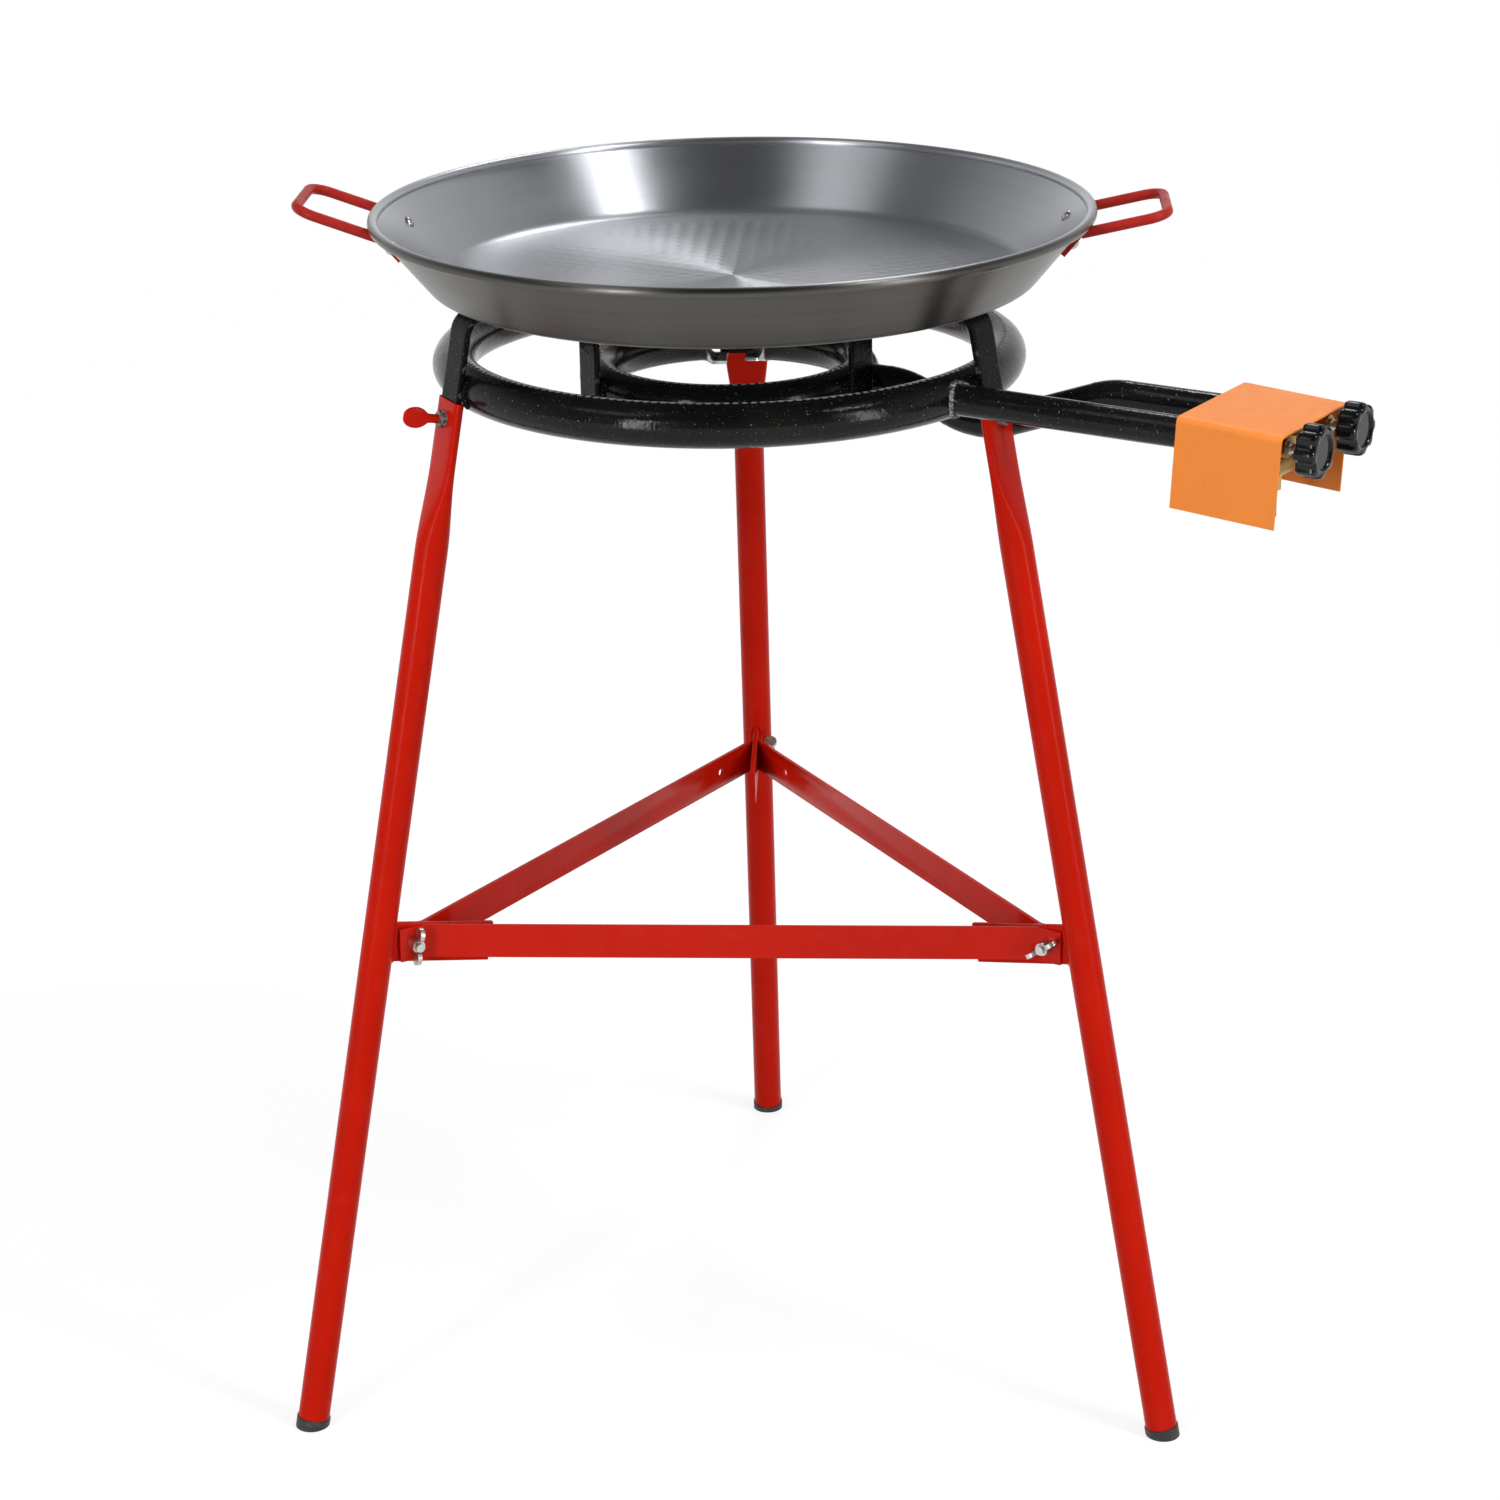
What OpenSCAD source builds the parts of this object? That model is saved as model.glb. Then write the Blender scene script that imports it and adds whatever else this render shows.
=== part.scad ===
// Paella burner: two-ring gas burner on a braced tripod, with a wide steel pan resting on its three supports.
// Origin on the floor in the middle of the overall box, +Z up, photo side towards -Y. Units are millimetres.

/* [Pan] */
// Diameter over the rolled rim
pan_rim_d = 485; // [440:1:540]
// Diameter of the flat base
pan_base_d = 404; // [380:1:420]
// Height from the base to the top of the rim
pan_depth = 48.5; // [40:0.5:60]
// Sheet thickness of the pan
pan_sheet = 1.5; // [1:0.1:2.5]
// Radius of the rolled lip
pan_lip_r = 3.5; // [2.5:0.1:5]
// Outside radius of the corner between the base and the wall
pan_corner_r = 12; // [6:1:18]
// How far the pan stands to the right of the burner's middle
pan_off = 3.6; // [-8:0.1:8]

/* [Pan handles] */
// Diameter of the handle rod
rod_d = 7; // [6:0.5:9]
// Distance between the two arms of a handle, centre to centre
loop_w = 76; // [66:1:100]
// Reach of the handle from the pan's rim to the middle of its outer bar
loop_out = 45.2; // [34:0.2:60]
// Upward tilt of the left handle
left_tilt = 19.5; // [8:0.5:24]
// Upward tilt of the right handle
right_tilt = 12; // [8:0.5:24]
// Bend radius of the handle corners, measured to the rod's middle
loop_bend_r = 14; // [10:1:20]
// Gap between the handle rod and the rolled lip above it
lip_gap = 0.4; // [0.3:0.1:2]
// Distance down the pan wall from a handle arm to its rivet
rivet_drop = 8; // [7.5:0.5:12]
// Length of the flattened handle end below its rivet
palm_below = 9; // [6:0.5:14]
// Width of the flattened handle end
palm_w = 15; // [12:1:20]
// Thickness of the flattened handle end
palm_t = 3; // [2:0.5:4]
// Shank diameter of the handle rivets
rivet_d = 4.5; // [4:0.5:6]
// Head diameter of the handle rivets
rivet_head_d = 8.5; // [7:0.5:10]
// Head height of the handle rivets
rivet_head_h = 2.2; // [1.5:0.1:3]

/* [Burner rings] */
// Height of the outer ring's middle plane above the floor
ring_z = 729; // [650:1:800]
// Outside diameter of the outer ring
outer_ring_d = 400; // [380:1:420]
// Tube diameter of the outer ring
outer_tube_d = 29; // [26:0.5:30]
// Outside diameter of the inner ring
inner_ring_d = 203; // [180:1:215]
// Tube diameter of the inner ring
inner_tube_d = 27; // [24:0.5:29]
// How far the inner ring lies below the outer ring
inner_drop = 12.5; // [8:0.5:16]
// Wall thickness of the ring tubes
ring_wall = 1.5; // [1.2:0.1:2]
// Diameter of a flame port
port_d = 2.4; // [1.5:0.1:3]
// Number of flame ports in the outer ring
outer_ports = 120; // [24:4:160]
// Number of flame ports in the inner ring
inner_ports = 54; // [12:2:80]
// Half angle of the closed part where the inner ring's ends are pinched shut
pinch_half_a = 18; // [16:1:22]
// Gap between the two pinched ends of the inner ring
pinch_gap = 13; // [8:1:18]
// Thickness of the pinched tube
pinch_t = 3.4; // [3:0.1:4.5]

/* [Pan supports] */
// Width of the support bar
bar_w = 25; // [20:1:28]
// Thickness of the support bar
bar_t = 4; // [3:0.5:5]
// Height of the pan base above the outer ring's middle plane
pan_lift = 52.5; // [45:0.5:60]
// Inside bend radius of the support bar
bar_bend_r = 12; // [8:1:16]
// Length of the support's spigot inside the leg
spigot_len = 42; // [30:1:55]

/* [Gas arm] */
// Outside diameter of the feed pipes
pipe_d = 20.5; // [18:0.5:22]
// Wall thickness of the feed pipes
pipe_wall = 1.75; // [1.25:0.25:2.5]
// Distance between the two feed pipes, centre to centre
pipe_pitch = 60; // [58:1:64]
// Distance from the outer ring to the pipe ends
pipe_len = 180; // [175:1:190]
// Drop of the inner pipe where it passes under the outer ring
duck_drop = 31; // [29:0.5:34]
// Bend radius of the long bends of the inner pipe
duck_bend_r = 60; // [60:5:90]
// Slope of the inner pipe where it dives under the outer ring
duck_a = 20; // [16:1:20]
// Bend radius of the short bends of the inner pipe
lift_bend_r = 60; // [50:5:70]
// Slope of the inner pipe where it rises to the inner ring
lift_a = 22; // [20:1:24]
// Diameter of the air hole near each pipe end
air_hole_d = 9; // [6:0.5:10]

/* [Control cover] */
// Length of the cover along the pipes
cover_len = 71; // [65:1:78]
// Width of the cover
cover_w = 99; // [94:1:104]
// Height of the cover
cover_h = 59; // [52:1:70]
// Sheet thickness of the cover
cover_sheet = 1.5; // [1:0.1:2]
// Outside radius of the cover's bends
cover_bend_r = 4; // [3:0.5:6]
// How far the cover reaches back over the pipe ends
cover_lap = 20; // [18:1:30]
// Slope of the cover, down towards the knobs
cover_droop = 3.5; // [0:0.5:5]

/* [Taps and knobs] */
// Diameter of the tap body
tap_d = 20; // [18:0.5:22]
// Length of the tap body
tap_len = 32; // [28:1:34]
// Diameter of the tap neck
tap_neck_d = 13; // [12:0.5:15]
// Length of the tap neck
tap_neck_len = 10; // [6:1:12]
// Diameter of the tap stem inside the body
stem_d = 8; // [7:0.5:9]
// Diameter of the stem's end inside the knob
stem_end_d = 6; // [5:0.5:6.5]
// Diameter of the knob over its lobes
knob_d = 34; // [32:1:40]
// Length of the knob
knob_len = 14; // [12:1:24]
// Number of lobes around the knob
knob_lobes = 8; // [6:1:10]
// Gap between the cover's outer end and the knob
knob_gap = 6; // [1.5:0.5:8]
// Outside diameter of the gas manifold
manifold_d = 16; // [14:0.5:18]
// Wall thickness of the gas manifold
manifold_wall = 2; // [1.5:0.25:3]
// Drop of the manifold below the tap axes
manifold_drop = 24; // [22:0.5:28]
// Diameter of the hose tail
hose_tail_d = 10; // [8:0.5:12]
// Length of the hose tail
hose_tail_len = 18; // [14:1:22]
// Diameter of the gas passages
gas_bore_d = 5; // [3:0.5:6]

/* [Legs] */
// Outward lean of the legs
leg_tilt = 11; // [9:0.5:13]
// Diameter of the leg tube
leg_d = 22; // [20:0.5:25]
// Wall thickness of the leg tube
leg_wall = 1.35; // [1:0.05:2]
// Length of the flattened top of the leg
flat_len = 42; // [30:1:55]
// Length over which the flattened top opens to the round tube
flare_len = 60; // [40:1:80]
// Distance of the leg's top edge below the outer ring's middle plane
leg_top_drop = 5; // [4.5:0.5:8]
// Diameter of the foot cap's head
cap_d = 23.5; // [22:0.5:28]
// Height of the foot cap's head at its middle
cap_head = 7; // [5:0.5:12]
// Length of the foot cap's stem inside the tube
cap_stem = 15; // [10:1:25]

/* [Thumb screws] */
// Distance of the thumb screw below the outer ring's middle plane
screw_drop = 18; // [15:1:26]
// Diameter of the thumb screw's shank
screw_d = 6; // [5:0.5:8]
// Length of the thumb screw's paddle along the screw
paddle_len = 18; // [16:1:26]
// Width of the thumb screw's paddle
paddle_w = 14; // [12:0.5:16]
// Thickness of the paddle
paddle_t = 3; // [2.5:0.5:4]
// Distance from the boss to the paddle
paddle_off = 6.5; // [2:0.5:8]
// Height of the boss nut welded to the leg
boss_h = 4.5; // [4:0.5:9]
// Width across the flats of the boss nut
boss_af = 10; // [9.5:0.5:13]

/* [Brace] */
// Height of the brace's bolts above the floor
brace_z = 350; // [250:1:450]
// Distance of the brace bolt from the middle of its leg
bolt_off = 25.5; // [24:0.5:30]
// Height of the brace strap
strap_h = 24; // [20:1:30]
// Thickness of the brace strap
strap_t = 2.5; // [2:0.25:3.5]
// Distance from the bolt to the bend in the strap
strap_bend_off = 9; // [8:0.5:14]
// Length of the strap end beyond the bolt
strap_tail = 11; // [9:0.5:12]
// Distance from the bend to the spare hole in the strap
spare_off = 44; // [30:1:60]
// Length of the leg's tab from the leg axis
tab_len = 83; // [70:1:90]
// Height of the tab
tab_h = 28; // [24:1:34]
// Thickness of the tab
tab_t = 4; // [3:0.5:5]
// Diameter of the brace bolts
bolt_d = 6; // [5:0.5:8]
// Width across the flats of the bolt head
bolt_af = 10; // [10:0.5:13]
// Height of the bolt head
bolt_head_h = 4; // [3:0.5:5]
// Hub diameter of the wing nut
nut_hub_d = 11; // [10:0.5:13]
// Hub height of the wing nut
nut_hub_h = 7; // [6:0.5:9]
// Reach of the wings from the bolt axis
wing_reach = 13.5; // [11:0.5:14]
// Thickness of the wings
wing_t = 3; // [2:0.5:4]

/* [Fits] */
// Gap left at welded and seated faces
seat_gap = 0.05; // [0.02:0.01:0.1]
// Radial clearance of turning fits
turn_gap = 0.05; // [0.02:0.01:0.1]
// Clearance around the spigot in the flattened leg top
slot_gap = 0.15; // [0.1:0.05:0.25]

/* [Hidden] */
// Curve steps for round shapes
$fn = 64;
// Angle of each leg and support around the burner axis
rear_a = 90;
left_a = 210;
right_a = 330;
// Direction of the gas arm
arm_a = 330;
// Small overlap used inside one piece
eps = 0.1;
// Large size for cutting blocks
big = 2000;
// Number of sides of a nut or bolt head
hex_sides = 6;
// Curve steps of a loft between two shapes
loft_fn = 32;
// Flat steps around a bend of the support bar or the pan
bend_steps = 10;
// How far a butt weld stands proud of the pipe
weld_proud = 0.15;
// Room between the inner ring and the first bend of its pipe
nose_room = 1;
rise_lead = 6;

outer_tube_r = outer_tube_d / 2;
outer_major = outer_ring_d / 2 - outer_tube_r;
inner_tube_r = inner_tube_d / 2;
inner_major = inner_ring_d / 2 - inner_tube_r;
inner_z = ring_z - inner_drop;

pan_z = ring_z + pan_lift;
pan_base_r = pan_base_d / 2;
lip_major = pan_rim_d / 2 - pan_lip_r;
lip_z = pan_z + pan_depth - pan_lip_r;
wall_dr = lip_major - pan_base_r;
wall_dz = lip_z - pan_z;
wall_a = atan2(wall_dz, wall_dr);
wall_len = sqrt(wall_dr * wall_dr + wall_dz * wall_dz);
wall_in = pan_sheet / sin(wall_a);
corner_x = pan_base_r - pan_corner_r * tan(wall_a / 2);
corner_z = pan_z + pan_corner_r;
loop_reach = pan_rim_d / 2 + loop_out;
lip_clear = pan_lip_r + rod_d / 2 + lip_gap;

bar_r = bar_bend_r + bar_t / 2;
post_r = outer_major + (outer_tube_r + seat_gap + bar_t / 2) / cos(leg_tilt);
bend_z = pan_z - bar_t / 2 - bar_r;
post_h = (bend_z - ring_z + bar_r * sin(leg_tilt)) / cos(leg_tilt);
bend_x = post_r - bar_r * cos(leg_tilt) - post_h * sin(leg_tilt);
foot_r = inner_ring_d / 2 + seat_gap + bar_t / 2;
foot_z = inner_z - inner_tube_r + 0.5;
inner_bend_x = foot_r + bar_r;
spigot_top = -(leg_top_drop + spigot_len);

pipe_r = pipe_d / 2;
pipe_bore_r = pipe_r - pipe_wall;
pipe_off = pipe_pitch / 2;
pipe_end = outer_ring_d / 2 + pipe_len;
duck_z = ring_z - duck_drop;
duck_run = (duck_drop - 2 * duck_bend_r * (1 - cos(duck_a))) / sin(duck_a);
lift_rise = inner_z - duck_z;
lift_run = (lift_rise - 2 * lift_bend_r * (1 - cos(lift_a))) / sin(lift_a);
pipe_join_x = sqrt(pow(inner_major, 2) - pow(pipe_off, 2));
duck_span = 2 * duck_bend_r * sin(duck_a) + duck_run * cos(duck_a);
lift_span = 2 * lift_bend_r * sin(lift_a) + lift_run * cos(lift_a);
lift_x1 = sqrt(pow(inner_major + inner_tube_r + pipe_r + nose_room, 2) - pow(pipe_off, 2));
lift_x0 = lift_x1 + lift_span;
duck_x1 = sqrt(pow(outer_major, 2) - pow(pipe_off, 2)) + 2;
rise_x0 = duck_x1 - rise_lead;
duck_x0 = rise_x0 + duck_span;

cover_rest = ring_z + max(tap_d / 2, pipe_r) + seat_gap;
cover_start = pipe_end - cover_lap;
cover_end = cover_start + cover_len;
flange_t = 5;
flange_af = 17;
jet_d = 1;
nozzle_d = 8;
nozzle_len = 8;
spigot_in = 6;
tap_x0 = pipe_end + flange_t;
tap_x1 = tap_x0 + tap_len;
neck_x1 = tap_x1 + tap_neck_len;
seat_x = tap_x0 + 14;
knob_x0 = cover_end + knob_gap;
knob_x1 = knob_x0 + knob_len;
stem_x1 = knob_x0 + knob_len * 0.7;
manifold_x = tap_x0 + tap_len / 2;
manifold_z = ring_z - manifold_drop;
manifold_half = pipe_off + 10;
tail_collar_h = 5;
tail_collar_af = 14;
tail_top = manifold_z - manifold_d / 2;
tail_z = tail_top - tail_collar_h - hose_tail_len;
tap_boss_d = 11;
flute_r = knob_d * 0.16;
flute_at = knob_d / 2 + flute_r * 0.55;

leg_r = leg_d / 2;
leg_bore_r = leg_r - leg_wall;
slot_t = bar_t + 2 * slot_gap;
slot_w = bar_w + slot_t;
leg_len = ring_z / cos(leg_tilt);
flat_z = -(leg_top_drop + flat_len);
round_z = flat_z - flare_len;
tube_end_z = -(leg_len - cap_head);
flat_face = slot_t / 2 + leg_wall;
boss_face = flat_face + boss_h;
screw_tip = bar_t / 2 + turn_gap;
paddle_x0 = boss_face + paddle_off;

bolt_lx = -bolt_off;
bolt_lz = (brace_z - ring_z + bolt_off * sin(leg_tilt)) / cos(leg_tilt);
bolt_r = post_r + bolt_lx * cos(leg_tilt) - bolt_lz * sin(leg_tilt);
strap_off = tab_t / 2 + seat_gap + strap_t / 2;
strap_face = tab_t / 2 + seat_gap + strap_t;
bend_r_pos = bolt_r - strap_bend_off;
tail_r_pos = bolt_r + strap_tail;
strap_y = -(bend_r_pos * sin(30) + strap_off * cos(30));
strap_bx = bend_r_pos * cos(30) - strap_off * sin(30);
strap_ex = tail_r_pos * cos(30) - strap_off * sin(30);
strap_ey = -(tail_r_pos * sin(30) + strap_off * cos(30));
miter_k = (strap_t / 2) / (1 + cos(30));
bolt_end = strap_face + nut_hub_h + 3;
wing_lift = 2;
wing_h = 11;

// Overall box of the part around the burner axis, from the feet and the knobs
sole_r = post_r + ring_z * tan(leg_tilt);
sole_half = cap_d / 2 / cos(leg_tilt);
box_left = -sole_r * cos(30) - sqrt(pow(sole_half * cos(30), 2) + pow(cap_d / 2 * sin(30), 2));
box_right = knob_x1 * cos(30) + (pipe_off + knob_d / 2) * sin(30);
box_front = -knob_x1 * sin(30) - (pipe_off + knob_d / 2) * cos(30);
box_back = sole_r + sole_half;

RED = [0.78, 0.1, 0.06];
BLACK = [0.07, 0.07, 0.08];
STEEL = [0.62, 0.61, 0.59];
ORANGE = [0.93, 0.52, 0.2];
ZINC = [0.75, 0.76, 0.74];
BRASS = [0.8, 0.62, 0.3];
RUBBER = [0.12, 0.12, 0.13];

module placed() {
    // Puts the middle of the overall box on the origin
    translate([-(box_left + box_right) / 2, -(box_front + box_back) / 2, 0])
        children();
}

// Pan

module pan_outside() {
    // Solid filling the pan's outside shape, used to seat the handle ends
    rotate_extrude()
        polygon([[0, pan_z], [pan_base_r, pan_z], [lip_major, lip_z], [0, lip_z]]);
}

module pan_shell() {
    // Spun sheet: flat base, rounded corner, sloping wall and rolled lip
    rotate_extrude()
        union() {
            polygon(concat(
                [[0, pan_z]],
                arc_pts(corner_x, corner_z, pan_corner_r, -90, wall_a - 90),
                [[lip_major, lip_z], [lip_major - wall_in, lip_z]],
                arc_pts(corner_x, corner_z, pan_corner_r - pan_sheet, wall_a - 90, -90),
                [[0, pan_z + pan_sheet]]
            ));
            translate([lip_major, lip_z])
                circle(r = pan_lip_r);
        }
}

// Place on the pan's outside wall, measured along the wall from the base
function wall_r(s) = pan_base_r + s * cos(wall_a);
function wall_z(s) = pan_z + s * sin(wall_a);

// Where a handle arm of that tilt, passing just under the lip, meets the wall
function arm_s(tilt) = wall_len - (lip_clear - palm_t / 2 * cos(wall_a - tilt)) / sin(wall_a - tilt);
function rivet_s(tilt) = arm_s(tilt) - rivet_drop;

module at_rivets(tilt) {
    // Both rivet places of a handle, with z standing out from the wall
    for (k = [-1, 1])
        rotate([0, 0, k * asin(loop_w / 2 / wall_r(rivet_s(tilt)))])
            translate([wall_r(rivet_s(tilt)), 0, wall_z(rivet_s(tilt))])
                rotate([0, 180 - wall_a, 0])
                    translate([0, 0, -pan_sheet / 2])
                        children();
}

module on_burner() {
    // Puts the pan where it stands on the burner
    placed()
        translate([pan_off, 0, 0])
            children();
}

module on_left() {
    rotate([0, 0, 180])
        children();
}

module rivet_holes(tilt) {
    at_rivets(tilt)
        translate([0, 0, -rivet_drop])
            cylinder(d = rivet_d + 2 * seat_gap, h = 2 * rivet_drop);
}

module pan_bowl() {
    on_burner()
        color(STEEL)
            difference() {
                pan_shell();
                rivet_holes(right_tilt);
                on_left()
                    rivet_holes(left_tilt);
            }
}

module handle_palms(tilt) {
    top = rivet_drop + rod_d / 2;
    at_rivets(tilt)
        translate([-top, -palm_w / 2, 0])
            cube([top + palm_below, palm_w, pan_sheet / 2 + palm_t]);
}

module handle_rod(tilt) {
    // Rod loop lying in a plane that rises outwards
    arm_r = wall_r(arm_s(tilt)) + palm_t / 2 * sin(wall_a);
    arm_x0 = sqrt(pow(arm_r, 2) - pow(loop_w / 2, 2));
    arm_z0 = wall_z(arm_s(tilt)) - palm_t / 2 * cos(wall_a);
    loop_len = (loop_reach - arm_x0) / cos(tilt);
    translate([arm_x0, 0, arm_z0])
        rotate([0, -tilt, 0]) {
            for (k = [-1, 1])
                translate([0, k * loop_w / 2, 0])
                    rotate([0, 90, 0])
                        cylinder(d = rod_d, h = loop_len - loop_bend_r);
            for (k = [-1, 1])
                translate([loop_len - loop_bend_r, k * (loop_w / 2 - loop_bend_r), 0])
                    rotate([0, 0, k > 0 ? 0 : -90])
                        rotate_extrude(angle = 90)
                            translate([loop_bend_r, 0])
                                circle(d = rod_d);
            translate([loop_len, -(loop_w / 2 - loop_bend_r), 0])
                rotate([-90, 0, 0])
                    cylinder(d = rod_d, h = loop_w - 2 * loop_bend_r);
        }
}

module pan_handle(tilt) {
    color(RED)
        difference() {
            union() {
                handle_palms(tilt);
                handle_rod(tilt);
            }
            translate([0, 0, -seat_gap])
                pan_outside();
            rivet_holes(tilt);
        }
}

module pan_handle_right() {
    on_burner()
        pan_handle(right_tilt);
}

module pan_handle_left() {
    on_burner()
        on_left()
            pan_handle(left_tilt);
}

module rivet_cap() {
    // Domed head cut from a ball
    cap_r = (pow(rivet_head_d / 2, 2) + pow(rivet_head_h, 2)) / (2 * rivet_head_h);
    intersection() {
        translate([0, 0, rivet_head_h - cap_r])
            sphere(r = cap_r);
        cylinder(d = rivet_head_d, h = rivet_head_h);
    }
}

module rivets(tilt) {
    at_rivets(tilt) {
        translate([0, 0, -pan_sheet])
            cylinder(d = rivet_d, h = 2 * pan_sheet + palm_t);
        translate([0, 0, pan_sheet / 2 + palm_t + seat_gap])
            rivet_cap();
        translate([0, 0, -pan_sheet / 2 - 2 * seat_gap])
            mirror([0, 0, 1])
                rivet_cap();
    }
}

module pan_rivets() {
    on_burner()
        color(ZINC) {
            rivets(right_tilt);
            on_left()
                rivets(left_tilt);
        }
}

// Burner rings

module arm_frame() {
    rotate([0, 0, arm_a])
        children();
}

module feed_hole(x0, y0, z0) {
    arm_frame()
        translate([x0, y0, z0])
            rotate([0, 90, 0])
                cylinder(r = pipe_bore_r, h = outer_tube_d);
}

module outer_ring() {
    placed()
        color(BLACK)
            difference() {
                translate([0, 0, ring_z])
                    rotate_extrude()
                        translate([outer_major, 0])
                            difference() {
                                circle(r = outer_tube_r);
                                circle(r = outer_tube_r - ring_wall);
                            }
                for (k = [0 : outer_ports - 1])
                    rotate([0, 0, (k + 0.5) * 360 / outer_ports])
                        translate([outer_major, 0, ring_z])
                            cylinder(d = port_d, h = outer_tube_d);
                feed_hole(duck_x1 - 2, -pipe_off, ring_z);
            }
}

module pinched_end(k) {
    // One end of the inner ring's tube, squeezed flat and down
    hull() {
        rotate([0, 0, rear_a + k * pinch_half_a])
            translate([inner_major, 0, inner_z])
                rotate([90, 0, 0])
                    cylinder(r = inner_tube_r, h = eps, center = true, $fn = loft_fn);
        translate([-k * (pinch_gap / 2 + 9), inner_major, inner_z - inner_tube_r + pinch_t / 2])
            cube([eps, inner_tube_d, pinch_t], center = true);
    }
    translate([-k * (pinch_gap / 2 + 5), inner_major, inner_z - inner_tube_r + pinch_t / 2])
        cube([10, inner_tube_d, pinch_t], center = true);
}

module inner_ring() {
    placed()
        color(BLACK)
            difference() {
                union() {
                    translate([0, 0, inner_z])
                        rotate([0, 0, rear_a + pinch_half_a])
                            rotate_extrude(angle = 360 - 2 * pinch_half_a)
                                translate([inner_major, 0])
                                    difference() {
                                        circle(r = inner_tube_r);
                                        circle(r = inner_tube_r - ring_wall);
                                    }
                    pinched_end(1);
                    pinched_end(-1);
                }
                for (k = [0 : inner_ports - 1])
                    rotate([0, 0, rear_a + pinch_half_a + (k + 0.5) * (360 - 2 * pinch_half_a) / inner_ports])
                        translate([inner_major, 0, inner_z])
                            cylinder(d = port_d, h = inner_tube_d);
                feed_hole(pipe_join_x, pipe_off, inner_z);
            }
}

// Pan supports

module post_frame() {
    // Frame of a leg and its post: +x outwards, +z up along the leg
    translate([post_r, 0, ring_z])
        rotate([0, -leg_tilt, 0])
            children();
}

function arc_pts(cx, cz, r, a0, a1) =
    [for (i = [0 : bend_steps]) let (a = a0 + (a1 - a0) * i / bend_steps) [cx + r * cos(a), cz + r * sin(a)]];

function post_pt(x, z) =
    [post_r + x * cos(leg_tilt) - z * sin(leg_tilt), ring_z + x * sin(leg_tilt) + z * cos(leg_tilt)];

module support() {
    // One flat bar: spigot and outer post, bend, pan rest, bend, inner post
    color(BLACK)
        rotate([90, 0, 0])
            linear_extrude(height = bar_w, center = true)
                polygon(concat(
                    [post_pt(bar_t / 2, spigot_top)],
                    arc_pts(bend_x, bend_z, bar_bend_r + bar_t, leg_tilt, 90),
                    arc_pts(inner_bend_x, bend_z, bar_bend_r + bar_t, 90, 180),
                    [[foot_r - bar_t / 2, foot_z], [foot_r + bar_t / 2, foot_z]],
                    arc_pts(inner_bend_x, bend_z, bar_bend_r, 180, 90),
                    arc_pts(bend_x, bend_z, bar_bend_r, 90, leg_tilt),
                    [post_pt(-bar_t / 2, spigot_top)]
                ));
}

module support_rear() {
    placed()
        rotate([0, 0, rear_a])
            support();
}

module support_left() {
    placed()
        rotate([0, 0, left_a])
            support();
}

module support_right() {
    placed()
        rotate([0, 0, right_a])
            support();
}

// Feed pipes

module tube_x(x0, x1, r) {
    translate([x0, 0, 0])
        rotate([0, 90, 0])
            cylinder(r = r, h = x1 - x0);
}

module tube_bend(bend_r, sweep, r) {
    // Starts at the origin heading +x and bends upwards
    translate([0, 0, bend_r])
        rotate([90, 0, 0])
            rotate([0, 0, -90])
                rotate_extrude(angle = sweep)
                    translate([bend_r, 0])
                        circle(r = r);
}

module joint(r) {
    // Butt weld between a straight and a bend, just proud of the pipe
    sphere(r = r + weld_proud);
}

module tube_rise(bend_r, sweep, run, r) {
    // S-shaped rise: bend up, straight run, bend level
    joint(r);
    tube_bend(bend_r, sweep, r);
    translate([bend_r * sin(sweep), 0, bend_r * (1 - cos(sweep))])
        rotate([0, -sweep, 0]) {
            joint(r);
            tube_x(eps, run - eps, r);
            translate([run, 0, 0]) {
                joint(r);
                rotate([180, 0, 0])
                    tube_bend(bend_r, sweep, r);
            }
        }
}

module inner_pipe_nose(r, over) {
    // Straight start of the inner pipe at the inner ring
    translate([0, pipe_off, inner_z])
        tube_x(pipe_join_x - over, lift_x1 - eps, r);
}

module inner_pipe_run(r, over) {
    // The rest of the inner pipe: down, under the outer ring, up and out to the tap
    translate([lift_x1, pipe_off, inner_z])
        joint(r);
    translate([0, pipe_off, duck_z]) {
        tube_x(lift_x0 + eps, rise_x0 - eps, r);
        translate([rise_x0, 0, 0])
            tube_rise(duck_bend_r, duck_a, duck_run, r);
        translate([lift_x0, 0, 0])
            rotate([0, 0, 180])
                tube_rise(lift_bend_r, lift_a, lift_run, r);
    }
    translate([duck_x0, pipe_off, ring_z])
        joint(r);
    translate([0, pipe_off, ring_z])
        tube_x(duck_x0 + eps, pipe_end + over, r);
}

module air_holes(y0) {
    for (s = [-1, 1])
        translate([pipe_end - spigot_in - air_hole_d * 0.8, y0, ring_z])
            rotate([-90 * s, 0, 0])
                cylinder(d = air_hole_d, h = pipe_d);
}

module outer_feed_pipe() {
    placed()
        color(BLACK)
            difference() {
                arm_frame()
                    translate([0, -pipe_off, ring_z])
                        difference() {
                            tube_x(duck_x1, pipe_end, pipe_r);
                            tube_x(duck_x1 - 1, pipe_end + 1, pipe_bore_r);
                        }
                translate([0, 0, ring_z])
                    rotate_extrude()
                        translate([outer_major, 0])
                            circle(r = outer_tube_r + seat_gap);
                arm_frame()
                    air_holes(-pipe_off);
            }
}

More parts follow.
